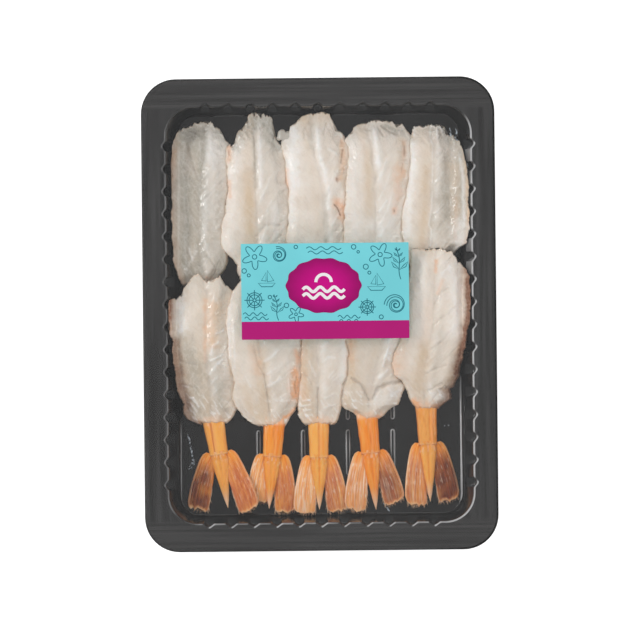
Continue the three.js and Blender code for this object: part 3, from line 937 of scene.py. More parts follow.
    def floor(self, under: bool) -> tuple[Array, Array]:
        """Points of the floor's top or underside, with its pockets, bars and ribs, and the painted highlight
        at each along the ribs' edges.
        """
        reach_x = self.columns * self.pitch_x / 2 + 1
        reach_y = self.rows * self.pitch_y / 2 + 1
        x, y = np.meshgrid(
            self.lines(self.pitch_x, self.columns, self.rib_steps, reach_x, self.rib_shift),
            self.lines(self.pitch_y, self.rows, self.bar_steps, reach_y, 0),
        )
        across = x - self.rib_shift
        last_x, last_y = (self.columns - 1) / 2, (self.rows - 1) / 2
        row = np.clip(np.round(y / self.pitch_y + last_y) - last_y, -last_y, last_y)
        from_row = np.abs(y - row * self.pitch_y)
        column = np.clip(np.round(across / self.pitch_x + last_x) - last_x, -last_x, last_x)
        from_column = np.abs(across - column * self.pitch_x)
        from_rib = self.pitch_x / 2 - from_column
        half_rib = (self.pitch_x - self.pocket_width) / 2
        past_end = np.maximum(0, from_row - self.pocket_length / 2 + half_rib)
        rib = smooth(0.3, -0.25, np.hypot(from_rib, past_end) - half_rib)
        # Painted highlight along the edges of the ribs.
        painted_light = bell(np.hypot(from_rib, past_end) - half_rib + 0.07, 0.2)
        painted_light = painted_light * (np.abs(across) < last_x * self.pitch_x) * (1.3 + 0.9 * Noise(8).at(x, y, 1.9, 6))
        bar = smooth(self.pocket_length / 2 - 0.9, self.pocket_length / 2 + 0.9, from_row)
        border = np.maximum(
            smooth(-0.3, 0.3, np.abs(x) - last_x * self.pitch_x - self.pocket_width / 2),
            smooth(-0.3, 0.3, np.abs(y) - last_y * self.pitch_y - self.pocket_length / 2),
        )
        low = self.floor_top - self.pocket_depth
        if under:
            foot_x = smooth(-0.25, 0.25, from_column - self.pocket_width / 2 - self.sheet + 0.3)
            foot_y = smooth(-0.25, 0.25, from_row - self.pocket_length / 2 - self.sheet + 0.3)
            z = self.pocket_depth * np.maximum(foot_x, foot_y)
        else:
            z = low + self.pocket_depth * np.maximum(np.maximum(rib, self.bar_height * bar), border)
        return np.stack([x, y, z], axis=-1), painted_light * (1 - under)

    def build(self) -> Piece:
        """Model the whole sheet and hand it over."""
        rings, painted_light = self.rings()
        skin = Modeller.tube("tray_sheet", rings)
        Modeller.mark_grid(skin, "painted_light", np.concatenate([painted_light, painted_light[:, :1]], axis=1))
        top = self.floor_part("floor_top", False, rings[0])
        under = self.floor_part("floor_under", True, rings[-1])
        tray = Modeller.join("formed_tray", [skin, *top, *under])
        Modeller.weld(tray, fill=False)
        Modeller.dress(tray, TrayPlastic().material(), 35)
        Modeller.place(tray, "tray", "tray")
        return tray

    def floor_part(self, name: str, under: bool, foot: Array) -> list[Piece]:
        """The floor's top or underside, and the flat strip that joins it to the foot of the wall."""
        points, painted_light = self.floor(under)
        edge = np.concatenate([points[0, :-1], points[:-1, -1], points[-1, :0:-1], points[:0:-1, 0]])
        strip = Modeller.collar(f"{name}_strip", foot[:, :2], edge[:, :2], float(foot[0, 2]))
        floor = Modeller.grid(name, points)
        Modeller.mark_grid(floor, "painted_light", painted_light)
        return [floor, strip]


@dataclass
class LidFilm:
    """The film sealed over the flange: a thin sheet with slow ripples that flatten out on the seal."""

    width: float = 141.2
    length: float = 189.2
    corner: float = 13.6
    low: float = 16.06
    thickness: float = 0.12
    ripple: float = 0.07
    seal: float = 10.0

    def build(self) -> Piece:
        """Model the film and hand it over."""
        flat = rounded_sheet(self.width / 2, self.length / 2, self.corner, 2.2)
        x, y = flat[..., 0], flat[..., 1]
        inside = np.minimum(self.width / 2 - np.abs(x), self.length / 2 - np.abs(y))
        noise = Noise(41)
        waves = 0.7 * noise.at(x, y, 26, 17) + 0.3 * noise.at(x, y, 6, 15)
        z = self.low + self.ripple * (1 + waves) * smooth(0, self.seal, inside)
        film = Modeller.grid("lidding_film", np.dstack([x, y, z]))
        Modeller.thicken(film, self.thickness)
        Modeller.dress(film, ClearFilm().material())
        Modeller.place(film, "film", "lid_film")
        return film


# The label


@dataclass
class Label:
    """The printed label: a teal field with drawings of the seaside, a magenta strip and an oval badge."""

    width: float = 67.3
    length: float = 38.5
    x: float = 2.3
    y: float = 9.3
    corner: float = 0.25
    paper_low: float = 16.4
    paper: float = 0.12
    ink: float = 0.02
    strip: float = 7.2
    badge: Point = (30.0, 22.0)
    badge_place: Point = (-0.6, 2.2)
    line: float = 0.17
    bubbles: tuple[tuple[float, float, float], ...] = (
        (-32.4, 8.4, 0.9), (-30.6, 6.6, 0.6), (16.4, 9.6, 1.0), (17.8, 7.2, 0.6), (22.4, -10.6, 0.8),
        (-11.6, 17.8, 0.7), (11.6, 17.6, 0.9), (13.4, 15.6, 0.5), (-22.2, -2.2, 0.7), (-15.6, -5.6, 0.9),
    )

    teal: Ink = Ink("teal_ink", (0.19, 0.665, 0.73))
    deep_teal: Ink = Ink("deep_teal_ink", (0.015, 0.16, 0.21))
    magenta: Ink = Ink("magenta_ink", (0.460, 0.008, 0.178))
    bright_magenta: Ink = Ink("bright_magenta_ink", (0.600, 0.000, 0.235))
    white: Ink = Ink("white_ink", (0.88, 0.86, 0.87))

    def at(self, points: Array, z: float) -> Array:
        """Lay flat points of the label's own frame on the film."""
        return np.dstack([points[..., 0] + self.x, points[..., 1] + self.y, np.full(points.shape[:2], z)])

    def build(self) -> None:
        """Model the paper and each ink and hand them over."""
        top = self.paper_low + self.paper
        sheet = rounded_sheet(self.width / 2, self.length / 2, self.corner, 3)
        paper = Modeller.grid("label_paper", self.at(sheet, self.paper_low))
        Modeller.thicken(paper, self.paper)
        self.finish(paper, self.teal, "label")
        band = rounded_sheet(self.width / 2 - 0.02, self.strip / 2, 0.3, 3)
        band = band - np.array([0, self.length / 2 - self.strip / 2 - 0.02])
        strip = Modeller.grid("label_strip", self.at(band, top))
        Modeller.thicken(strip, self.ink)
        self.finish(strip, self.magenta)
        self.finish(self.badge_sheet(top), self.bright_magenta)
        self.finish(self.drawn("label_drawings", self.drawings(), self.line, top), self.deep_teal)
        self.finish(self.drawn("badge_waves", self.badge_lines(), 0.62, top + 2 * self.ink), self.white)

    @staticmethod
    def finish(obj: Piece, ink: Ink, *nodes: str) -> None:
        """Dress one layer of the label and hand it over."""
        Modeller.dress(obj, ink.material(), 30)
        Modeller.place(obj, "label", *nodes)

    def badge_sheet(self, z: float) -> Piece:
        """A wide oval with a softly scalloped edge."""
        turns = np.linspace(0, 2 * math.pi, 97)[:-1]
        rings = []
        for share in (1, 0.66, 0.33, 0):
            edge = 1 + 0.022 * np.cos(14 * turns) * share
            x = self.badge_place[0] + self.badge[0] / 2 * share * edge * np.cos(turns)
            y = self.badge_place[1] + self.badge[1] / 2 * share * edge * np.sin(turns)
            rings.append(np.column_stack([x + self.x, y + self.y, np.full(len(turns), z + self.ink)]))
        badge = Modeller.tube("label_badge", np.array(rings))
        Modeller.mark_grid(badge, "edge", np.repeat([[1], [0.45], [0.1], [0]], len(turns) + 1, axis=1))
        Modeller.weld(badge, fill=False)
        Modeller.thicken(badge, self.ink)
        return badge

    def drawn(self, name: str, lines: list[Path], half_width: float, z: float) -> Piece:
        """Draw lines as flat ribbons.

        Args:
            name: name of the new object.
            lines: bent lines in the label's own frame.
            half_width: half the width of a line.
            z: the height that they lie on.

        Returns:
            One mesh of all the lines.
        """
        curve = bpy.data.curves.new(name, "CURVE")
        curve.dimensions = "3D"
        curve.bevel_depth = half_width * MM
        curve.bevel_resolution = 1
        curve.use_fill_caps = True
        for line in lines:
            spline = curve.splines.new("POLY")
            closed = math.dist(line[0], line[-1]) < 1e-6
            kept = line[:-1] if closed else line
            spline.points.add(len(kept) - 1)
            spline.use_cyclic_u = closed
            for point, (x, y) in zip(spline.points, kept):
                point.co = ((x + self.x) * MM, (y + self.y) * MM, 0, 1)
        Modeller.only(Modeller.loose(name, curve))
        bpy.ops.object.convert(target="MESH")
        obj = bpy.context.object
        places = np.empty(len(obj.data.vertices) * 3)
        obj.data.vertices.foreach_get("co", places)
        share = np.clip(places[2::3] / (half_width * MM), -1, 1)
        places[2::3] = (z + (share + 1) * self.ink / 2) * MM
        obj.data.vertices.foreach_set("co", places)
        obj.data.update()
        return obj

    @staticmethod
    def ring(x: float, y: float, radius: float, lobes: int = 0, depth: float = 0, turn: float = 0) -> Path:
        """A circle, or a star with rounded arms."""
        angles = np.linspace(0, 2 * math.pi, 61)
        reach = radius * (1 + depth * np.cos(lobes * (angles - turn)))
        return tuple(zip(x + reach * np.cos(angles), y + reach * np.sin(angles)))

    @staticmethod
    def ripple(x: float, y: float, length: float, height: float, waves: float, turn: float = 0) -> Path:
        """A wavy line from a point, turned by an angle in degrees."""
        run = np.linspace(0, length, 49)
        rise = height * np.sin(run / length * waves * 2 * math.pi)
        c, s = math.cos(math.radians(turn)), math.sin(math.radians(turn))
        return tuple(zip(x + run * c - rise * s, y + run * s + rise * c))

    @staticmethod
    def coil(x: float, y: float, radius: float, turns: float, start: float) -> Path:
        """A snail's spiral that opens outwards."""
        share = np.linspace(0, 1, 64)
        angles = start + share * turns * 2 * math.pi
        reach = radius * (0.12 + 0.88 * share**1.4)
        return tuple(zip(x + reach * np.cos(angles), y + reach * np.sin(angles)))

    def weed(self, x: float, y: float, height: float, lean: float) -> list[Path]:
        """A stem of seaweed with paired leaves."""
        lines = [self.ripple(x, y, height, 0.35, 1.2, 90 + lean)]
        for share in (0.3, 0.5, 0.7, 0.88):
            for side in (-1, 1):
                foot = (x - math.sin(math.radians(lean)) * height * share, y + height * share)
                reach = 0.3 * height * (1.15 - share)
                leaf = ((0, 0), (0.5, 0.55), (1, 0.95), (0.75, 0.35), (0, 0))
                lines.append(tuple((foot[0] + side * reach * a, foot[1] + reach * b) for a, b in leaf))
        return lines

    def boat(self, x: float, y: float, size: float) -> list[Path]:
        """A small sailing boat: hull, mast and two sails."""
        hull = ((-1, 0), (-0.62, -0.42), (0.62, -0.42), (1, 0), (-1, 0))
        sail = ((0.08, 0.15), (0.08, 1.5), (0.82, 0.3), (0.08, 0.15))
        jib = ((-0.08, 0.25), (-0.08, 1.25), (-0.62, 0.32), (-0.08, 0.25))
        return [tuple((x + size * a, y + size * b) for a, b in shape) for shape in (hull, sail, jib)]

    def wheel(self, x: float, y: float, radius: float) -> list[Path]:
        """A ship's wheel."""
        lines = [self.ring(x, y, radius), self.ring(x, y, radius * 0.72), self.ring(x, y, radius * 0.2)]
        for k in range(8):
            c, s = radius * math.cos(math.pi / 4 * k), radius * math.sin(math.pi / 4 * k)
            lines.append(tuple((x + reach * c, y + reach * s) for reach in (0.2, 1.35)))
        return lines

    def drawings(self) -> list[Path]:
        """The line drawings of the field, placed clear of the badge and the strip."""
        lines: list[Path] = []
        for x, y, radius in ((-28.2, 14, 3.6), (22.2, 14.4, 3.4), (-11.8, -9.2, 2.2)):
            lines.append(self.ring(x, y, radius, 5, 0.42, 0.3 + x))
            lines.append(self.ring(x, y, radius * 0.25))
        for x, y, radius, turns in ((28.2, -5.8, 4.6, 2.4), (-18.6, 14.6, 3.5, 2.2)):
            lines.append(self.coil(x, y, radius, turns, 0.6))
            lines.append(self.coil(x + 0.2, y - 0.1, radius * 0.82, turns, 0.7))
        lines += [self.ring(*bubble) for bubble in self.bubbles]
        for x, y, length, turn in ((-33, -9, 9.6, 0), (-7.4, 17.2, 14, 0), (5, -10.4, 9, 0)):
            lines += [self.ripple(x + 0.6 * k, y - 1.7 * k, length, 0.6, 3, turn) for k in range(2)]
        lines += self.weed(-18.8, -11.6, 10.6, 8) + self.weed(30.4, 4.4, 13, 6)
        lines += self.boat(20.6, 1.6, 3.6) + self.boat(-23.4, 3.4, 3.4)
        lines += self.wheel(-28.4, -3.4, 3) + self.wheel(16.8, -6.6, 2.6)
        return lines

    def badge_lines(self) -> list[Path]:
        """The badge's plain mark: a sun over two waves."""
        x, y = self.badge_place
        angles = np.linspace(0, math.pi, 25)
        sun = tuple(zip(x + 3.1 * np.cos(angles), y + 1.4 + 3.1 * np.sin(angles)))
        waves = [self.ripple(x - 8.4, y - 1.5 - 2.6 * k, 16.8, 0.95, 3) for k in range(2)]
        return [sun, *waves]


# The shrimp


class Row(Enum):
    """The two rows of shrimp."""

    BACK = "back"
    FRONT = "front"


class Mark(Enum):
    """What a stroke leaves on the flesh, with the channel of the mesh's attributes that it fills."""

    GLASS = ("tone", 0)
    BLUSH = ("tone", 1)
    TAN = ("tone", 2)
    WHITE = ("mark", 0)
    LINE = ("mark", 1)
    BROWN = ("mark", 2)


@dataclass(frozen=True)
class Stroke:
    """A soft stroke on the flesh along a bent line.

    rise lifts the flesh along the stroke, and a negative rise presses a groove.
    """

    path: Path
    width: float
    mark: Mark
    strength: float
    rise: float = 0.0


def path(*flat: float) -> Path:
    """Pair x and y of a bent line's points, given one after the other."""
    return tuple(zip(flat[::2], flat[1::2]))


def groove(width: float, depth: float, *flat: float) -> Stroke:
    """A crease in the flesh, with painted shade along it."""
    return Stroke(path(*flat), width, Mark.LINE, min(0.5, 0.55 * depth), -depth)


def ridge(width: float, height: float, *flat: float) -> Stroke:
    """A raised fold, whitened along its back: partly the flesh's milky colour, partly a painted highlight on
    the fold.
    """
    return Stroke(path(*flat), width, Mark.WHITE, min(0.7, height), 0.55 * height)


def stain(mark: Mark, width: float, strength: float, *flat: float) -> Stroke:
    """A stroke of colour alone."""
    return Stroke(path(*flat), width, mark, strength)


glassy, blushed, tanned, whitened, lined, browned = (partial(stain, mark) for mark in Mark)


@dataclass(frozen=True)
class TailForm:
    """The stand and the colours of one tail.

    tips are the ends of its left and right paddles, in the tray's frame, and lifts are how far they rise.
    stem and telson give orange, salmon and brown. line is where a red line runs along the stem, from -1 to 1.
    half gives the extra orange right of that line. left and right give each paddle's salmon, brown and white,
    the white also strengthening its painted glints.
    lengths are those of the stem and the telson.
    """

    tips: tuple[Point, Point]
    lifts: Point = (0.0, 0.0)
    stem: Colour = (0.5, 0.0, 0.0)
    telson: Colour = (0.4, 0.05, 0.0)
    line: float = 0.0
    line_strength: float = 0.6
    half: float = 0.2
    left: Colour = (0.7, 0.1, 0.2)
    right: Colour = (0.7, 0.1, 0.2)
    lengths: Point = (13.6, 21.6)


@dataclass(frozen=True)
class ShrimpForm:
    """The outlines, marks and tail of one shrimp, in the tray's frame.

    left and right are its side edges, from head to tail. A side without one runs on under its neighbour's.
    The tones are how glassy and how tan each half of the flesh is, and lips are how high its edges stand.
    flank is how much painted shade darkens the side against the wall, below 0 for the left side.
    """

    head: float
    end: float
    stem: float
    lean: float
    furrow: Path
    left: Path = ()
    right: Path = ()
    head_line: Path = ()
    head_glass: float = 0.4
    left_tone: Point = (0.1, 0.1)
    right_tone: Point = (0.1, 0.1)
    lips: Point = (0.8, 0.52)
    painted_flank_shade: float = 0.0
    strokes: tuple[Stroke, ...] = ()
    tail: TailForm | None = None


@dataclass
class Flesh:
    """How the flesh of any shrimp is shaped."""

    thickness: float = 5.4
    head_thickness: float = 2.4
    end_thickness: float = 4.3
    left_shoulder: float = 4.5
    right_shoulder: float = 6.5
    valley: float = 0.6
    valley_width: float = 2.4
    crease: float = 0.25
    crease_width: float = 0.45
    back: float = 0.3
    ragged: float = 0.55
    end_drop: float = 0.8
    tuck: float = 1.1
    reach: float = 60.7
    ceiling: float = 15.85
    segments: float = 6.0
    slant: float = 1.1
    least: float = 0.35
    edge_radii: tuple[float, ...] = (0.8, 1.2, 0.6, 1.3)
    rows: int = 220
    columns: int = 96


@dataclass
class Bed:
    """The height of what the flesh lies on.

    Under the front row it climbs over the back row's tails in a slope and a step, each a rise and two ends.
    """

    base: float = 2.1
    flat: float = 52.5
    curl: float = 0.2
    head_from: float = 74.0
    head_run: float = 8.0
    head_rise: float = 5.6
    slope: tuple[float, float, float] = (4.7, -42.0, -8.0)
    step: tuple[float, float, float] = (1.2, 4.0, 16.0)

    def height(self, row: Row, x: Array, y: Array) -> Array:
        """The bed's height under points of a row."""
        curl = self.curl * np.maximum(0, np.abs(x) - self.flat) ** 2
        if row is Row.BACK:
            climb = self.head_rise * np.maximum(0, (y - self.head_from) / self.head_run) ** 2
            return self.base + curl + climb
        climb = sum(rise * smooth(low, high, y) for rise, low, high in (self.slope, self.step))
        return self.base + np.maximum(curl, climb)


@dataclass
class Tail:
    """The sizes of any tail: stem, middle spike and the two paddles."""

    stem_width: float = 8.7
    joint_width: float = 7.5
    stem_height: float = 3.5
    joint_height: float = 3.2
    inside: float = 4.6
    telson_width: float = 7.0
    telson_height: float = 3.0
    telson_tip: float = 1.6
    telson_places: tuple[float, ...] = (-0.08, 0.1, 0.5, 0.85, 1.0)
    telson_shares: tuple[float, ...] = (0.9, 1.0, 0.64, 0.26, 0.03)
    paddle_width: float = 9.0
    paddle_thickness: float = 1.3
    paddle_tip: float = 0.7
    paddle_root: float = 2.8
    paddle_base: float = 0.1
    paddle_bow: float = 0.7
    set_back: float = 1.0
    paddle_places: tuple[float, ...] = (0.0, 0.05, 0.12, 0.25, 0.45, 0.65, 0.88, 0.96, 1.0)
    outer_shares: tuple[float, ...] = (0.55, 0.78, 0.87, 0.91, 0.94, 0.99, 1.0, 0.9, 0.64)
    inner_shares: tuple[float, ...] = (0.2, 0.36, 0.54, 0.74, 0.9, 0.98, 1.0, 0.92, 0.74)
    rings: int = 56
    stem_corners: int = 64
    telson_corners: int = 40
    blade_rows: int = 60
    blade_columns: int = 49
    blade_span: float = 4.2
    hairs: int = 90
    tip_hairs: int = 52
    hair_lengths: Point = (1.0, 2.6)
    hair_widths: Point = (0.06, 0.14)


@dataclass
class ShrimpRow:
    """Five shrimp that lie side by side, each with its left edge over its neighbour."""

    row: Row
    shrimp: tuple[ShrimpForm, ...]
    flesh: Flesh = field(default_factory=Flesh)
    bed: Bed = field(default_factory=Bed)
    tail: Tail = field(default_factory=Tail)

    def build(self, flesh: Material, shell: Material) -> None:
        """Model each shrimp and hand it over."""
        for index, form in enumerate(self.shrimp):
            node = f"shrimp_{self.row.value}_{index + 1}"
            body = self.flesh_piece(index, form, f"{node}_flesh")
            Modeller.dress(body, flesh, 70)
            Modeller.place(body, "flesh", node)
            tail = self.tail_piece(index, form, f"{node}_tail")
            Modeller.dress(tail, shell, 50)
            Modeller.place(tail, "shell", node)

    # Flesh

    def edge(self, index: int, right: bool, y: Array) -> Array:
        """Where a shrimp's side edge lies, along its own line or a tuck beneath its neighbour's."""
        form = self.shrimp[index]
        line, shift = (form.right if right else form.left), 0
        if not line:
            beside = self.shrimp[index + 1].left if right else self.shrimp[index - 1].right
            line, shift = beside, self.flesh.tuck if right else -self.flesh.tuck
        line_y, line_x = np.array(sorted((py, px) for px, py in line)).T
        noise = Noise(200 + 2 * index + right + (50 if self.row is Row.FRONT else 0))
        waves = ((0.3, 0, 2.3), (0.16, 9, 0.7), (0.1, 5, 0.3))
        worn = sum(depth * noise.at(y, y * 0 + row, cell) for depth, row, cell in waves)
        return np.clip(np.interp(y, line_y, line_x) + shift + worn, -self.flesh.reach, self.flesh.reach)

    def flesh_piece(self, index: int, form: ShrimpForm, name: str) -> Piece:
        """Model one shrimp's flesh as a closed body with its marks."""
        flesh = self.flesh
        seed = index + (1 if self.row is Row.BACK else 11)
        even = np.linspace(0, 1, flesh.rows)
        u = mix(even, (1 - np.cos(math.pi * even)) / 2, 0.4)[:, None]
        v = np.sin(np.linspace(-1, 1, flesh.columns) * 1.25)[None, :] / math.sin(1.25)
        u, v = np.broadcast_arrays(u, v)
        head_y, end_y = self.ends(index, form, v, seed)
        y = mix(head_y, end_y, u)
        left, right = self.edge(index, False, y), self.edge(index, True, y)
        x = mix(left, right, (v + 1) / 2)
        height, tone, mark, grain = self.relief(form, (u, x, y), (left, right, head_y, end_y), seed)
        bed = self.bed.height(self.row, x, y)
        ceiling = flesh.ceiling - 0.02 * np.maximum(0, bed + height - 15)
        z = np.minimum(bed + height, np.maximum(bed + 0.1, ceiling))
        under = slice(-4, 2, -7)
        belly = np.stack([x, y, bed], axis=-1)[:, under]
        body = Modeller.tube(name, np.concatenate([np.stack([x, y, z], axis=-1), belly], axis=1))
        for attribute, values in (("tone", tone), ("mark", mark), ("grain", grain)):
            round_body = np.concatenate([values, values[:, under], values[:, :1]], axis=1)
            Modeller.mark_grid(body, attribute, round_body)
        Modeller.weld(body)
        return body

    def ends(self, index: int, form: ShrimpForm, v: Array, seed: int) -> tuple[Array, Array]:
        """The torn outline of the head and the soft outline of the tail end.

        Args:
            index: place in the row.
            form: the shrimp.
            v: place across the flesh, from -1 to 1.
            seed: the shrimp's number.

        Returns:
            The y of the head's and of the end's outline on each line along the flesh.
        """
        noise = Noise(seed)
        head_y = form.head + 0 * v
        if form.head_line:
            line_x, line_y = np.array(form.head_line).T
            for _ in range(3):
                left, right = self.edge(index, False, head_y), self.edge(index, True, head_y)
                head_y = np.interp(mix(left, right, (v + 1) / 2), line_x, line_y)
        across = 12 * v
        torn = noise.at(across, v * 0, 0.9) + 0.6 * noise.at(across + 40, v * 0, 0.35)
        torn = self.flesh.ragged * (0.8 + 1.1 * form.head_glass) * torn
        head_y = head_y + torn * (1 - v**6)
        end_y = form.end - self.flesh.end_drop + 0.35 * noise.at(across + 80, v * 0, 1.3)
        return head_y, end_y + 0.15 * noise.at(across + 20, v * 0, 0.4)

    def relief(self, form: ShrimpForm, place: tuple, edges: tuple, seed: int) -> tuple:
        """How high the flesh stands over its bed, and the colours it takes.

        Args:
            form: the shrimp.
            place: share along the flesh, x and y of each point.
            edges: x of the left and right edges and y of the head's and the end's outline, at each point.
            seed: the shrimp's number.

        Returns:
            height, tone, mark and grain, each laid out as the rows and columns.
        """
        flesh, noise = self.flesh, Noise(seed + 100)
        u, x, y = place
        left, right, head_y, end_y = edges
        furrow_y, furrow_x = np.array(sorted((py, px) for px, py in form.furrow)).T
        along = lambda place, cell: noise.at(x * 0 + place, y, cell)
        d = x - (np.interp(y, furrow_y, furrow_x) + 0.25 * along(0, 2.2) + 0.12 * along(4, 0.8))
        from_left, from_right, from_head, from_end = x - left, right - x, head_y - y, y - end_y
        below_head = path_distance(x, y, form.head_line) if form.head_line else form.head - y
        on_right = smooth(-1, 1, d)
        arms = y - flesh.slant * np.abs(d) + 0.8 * noise.at(x, y, 4)
        glass = mix(form.left_tone[0], form.right_tone[0], on_right)
        tan = mix(form.left_tone[1], form.right_tone[1], on_right)
        glass = glass * (1 + 0.5 * noise.at(x + 7, y, 7, 12))
        glass = glass + form.head_glass * smooth(6, 0.5, below_head + 1.5 * noise.at(x, y, 2.5))
        # Painted shade towards the front row's tail ends, where the light falls off, laid on as glassier and
        # tanner flesh.
        if self.row is Row.FRONT:
            near_end = smooth(24, 3, from_end + 2 * noise.at(x, y, 3))
            glass, tan = glass + 0.12 * near_end, tan + 0.3 * near_end

        # Painted shade on the side against the wall, laid on as glassier and tanner flesh and, nearest the
        # edge, brown.
        outside = (from_left if form.painted_flank_shade < 0 else from_right) + 0.6 * noise.at(x, y + 20, 3)
        reach = 4.6 if self.row is Row.BACK else mix(3.2, 8, smooth(0, -28, y))
        dark = abs(form.painted_flank_shade) * smooth(1, 0, outside / reach)
        glass, tan = glass + 0.8 * dark, tan + 0.6 * dark

        body = mix(flesh.head_thickness, flesh.thickness, smooth(0, 13, below_head))
        body *= mix(1, flesh.end_thickness / flesh.thickness, smooth(0.8, 1, u))
        body *= mix(form.lips[0], 1, smooth(0, flesh.left_shoulder, from_left))
        body *= mix(form.lips[1], 1, smooth(0, flesh.right_shoulder, from_right))
        inner = mix(0.45, 1, smooth(0, 5, from_end))
        valley = flesh.valley * bell(d, flesh.valley_width) * (1 + 0.4 * along(9, 7))
        crease = flesh.crease * bell(d, flesh.crease_width) * (0.6 + 0.8 * along(13, 4))
        height = body - inner * (valley + crease) + flesh.back * inner * bell(d - 2.6, 1.5)
        pitch = (form.head - form.end) / flesh.segments
        phase = (form.head - arms) / pitch + 0.2 * noise.at(x, y, 9)
        seam = smooth(0.86, 1, np.abs((phase % 1) - 0.5) * 2) * smooth(0.4, 2, np.abs(d))
        seam = seam * mix(0.35, 1, on_right) * (0.55 + 0.6 * noise.at(x + 50, y, 6))
        bands = noise.at(arms, d, 2.4, 9)
        threads = noise.at(arms + 60, d, 0.55, 3.5)
        folds = 1 - 2 * np.abs(noise.at(x + 0.5 * y, y, 2.1, 3))
        wrinkles = 1 - 2 * np.abs(noise.at(x - 0.4 * y + 33, y, 0.9, 1.4))
        height = height - 0.2 * seam + mix(0.05, 0.14, on_right) * bands + 0.015 * threads
        height += 0.24 * noise.at(x, y, 6, 9) + 0.09 * noise.at(x + 31, y, 1.8, 2.6)
        height += np.clip(glass, 0.12, 0.6) * (0.16 * folds + 0.06 * wrinkles)
        ruffle = form.head_glass * smooth(8, 1, below_head)
        height += ruffle * (0.3 * folds + 0.12 * wrinkles)
        # Small wet bumps, painted white as glints in the mark below.
        wet = 0.35 * ruffle if self.row is Row.BACK else smooth(20, 6, from_end) * smooth(0, 0.3, glass)
        bumps_and_painted_glints = smooth(0.42, 0.7, noise.at(x + 0.6 * y, y + 70, 0.9, 1.6)) * wet
        height += 0.12 * bumps_and_painted_glints

        tone, mark = np.zeros((*x.shape, 3)), np.zeros((*x.shape, 3))
        channels = {"tone": tone, "mark": mark}
        outer = np.minimum(np.minimum(from_head, from_end), np.minimum(from_left, from_right))
        tone[..., 0] = glass
        tone[..., 2] = tan * (1 + 0.5 * noise.at(x + 17, y, 4, 9)) + 0.4 * bell(outer - 0.35, 0.45)
        tone[..., 2] += 0.5 * smooth(2.6, 0.4, from_end)
        tone[..., 2] += 0.3 * bell(d + 2.6, 1.8) * (0.6 + 0.6 * along(20, 9))
        tone[..., 1] = 0.12 * smooth(2.2, 0.3, from_right) * (0.5 + 1.2 * noise.at(x + 11, y, 2, 4))
        root = np.hypot((x - form.stem) / 6, (y - form.end) / 3.6)
        tone[..., 1] += 0.42 * smooth(1.2, 0.3, root + 0.35 * noise.at(x, y, 1.3))
        mark[..., 0] = 0.25 * bell(d - 2.3, 1.2) * (0.7 + 0.7 * along(5, 5))
        # A painted highlight along the left edge, the side that faces the key light.
        mark[..., 0] += 0.25 * bell(from_left - 0.9, 0.8) * (0.6 + 0.6 * noise.at(x, y, 4))
        # Painted highlights on the tops of the glassy folds and wrinkles.
        painted_crest_highlights = 0.14 * smooth(0.3, 0.95, folds) + 0.1 * smooth(0.4, 0.95, wrinkles)
        mark[..., 0] += np.clip(glass, 0, 0.6) * painted_crest_highlights
        # the last term paints glints in white on the small wet bumps
        mark[..., 0] += mix(0.04, 0.12, on_right) * np.maximum(0, bands) + 0.55 * bumps_and_painted_glints
        # Darker along the furrow, the seams and the hollows of the glassy folds: painted shade in these
        # creases.
        mark[..., 1] = 0.22 * inner * bell(d, 0.7) * (0.6 + 0.8 * along(2, 3)) + 0.14 * seam
        mark[..., 1] += 0.16 * np.clip(glass, 0, 1) * smooth(-0.5, -0.95, folds)
        # The brown of the painted shade on the side against the wall.
        mark[..., 2] = (0.7 if form.painted_flank_shade < 0 else 1.1) * dark**1.6
        for stroke in form.strokes:
            bend = stroke.width * (0.35 * noise.at(x, y, 1.6) + 0.25 * noise.at(x + 9, y, 0.6))
            fade = bell(np.maximum(0, path_distance(x, y, stroke.path) + bend), stroke.width)
            height += stroke.rise * fade
            layer, channel = stroke.mark.value
            channels[layer][..., channel] += stroke.strength * fade
        height = np.maximum(flesh.least, height)
        for inward, radius in zip((from_left, from_right, from_head, from_end), flesh.edge_radii):
            height *= quarter_round(inward, radius)
        grain = np.stack([d, arms, d * 0], axis=-1)
        return height, np.clip(tone, 0, 1), np.clip(mark, 0, 1), grain

    # Tail

    def tail_piece(self, index: int, form: ShrimpForm, name: str) -> Piece:
        """Model one shrimp's tail, in one piece of shell."""
        seed = index + (31 if self.row is Row.BACK else 51)
        tail = form.tail or self.hidden_tail(form)
        parts = [self.stem_part(form, tail, seed), self.telson_part(form, tail, seed)]
        parts += [self.paddle_part(form, tail, side, seed + side) for side in (-1, 1)]
        return Modeller.join(name, parts)

    def hidden_tail(self, form: ShrimpForm) -> TailForm:
        """A plain tail for a shrimp whose own lies out of sight, its paddles close beside the spike."""
        reach = sum(TailForm.lengths) + 1.5
        y = form.end - reach
        middle = form.stem + reach * math.sin(math.radians(form.lean))
        return TailForm(tips=((middle - 4.6, y), (middle + 4.6, y)))

    def in_tray(self, form: ShrimpForm, down: Array, right: Array, z: Array) -> Array:
        """Turn places along a tail into points of the tray's frame."""
        lean = math.radians(form.lean)
        x = form.stem + down * math.sin(lean) + right * math.cos(lean)
        y = form.end - down * math.cos(lean) + right * math.sin(lean)
        return np.stack([x, y, self.bed.base + z], axis=-1)

    def along_tail(self, form: ShrimpForm, point: Point) -> Point:
        """Turn a point of the tray's frame into its place down and right along a tail."""
        lean = math.radians(form.lean)
        dx, dy = point[0] - form.stem, point[1] - form.end
        return dx * math.sin(lean) - dy * math.cos(lean), dx * math.cos(lean) + dy * math.sin(lean)

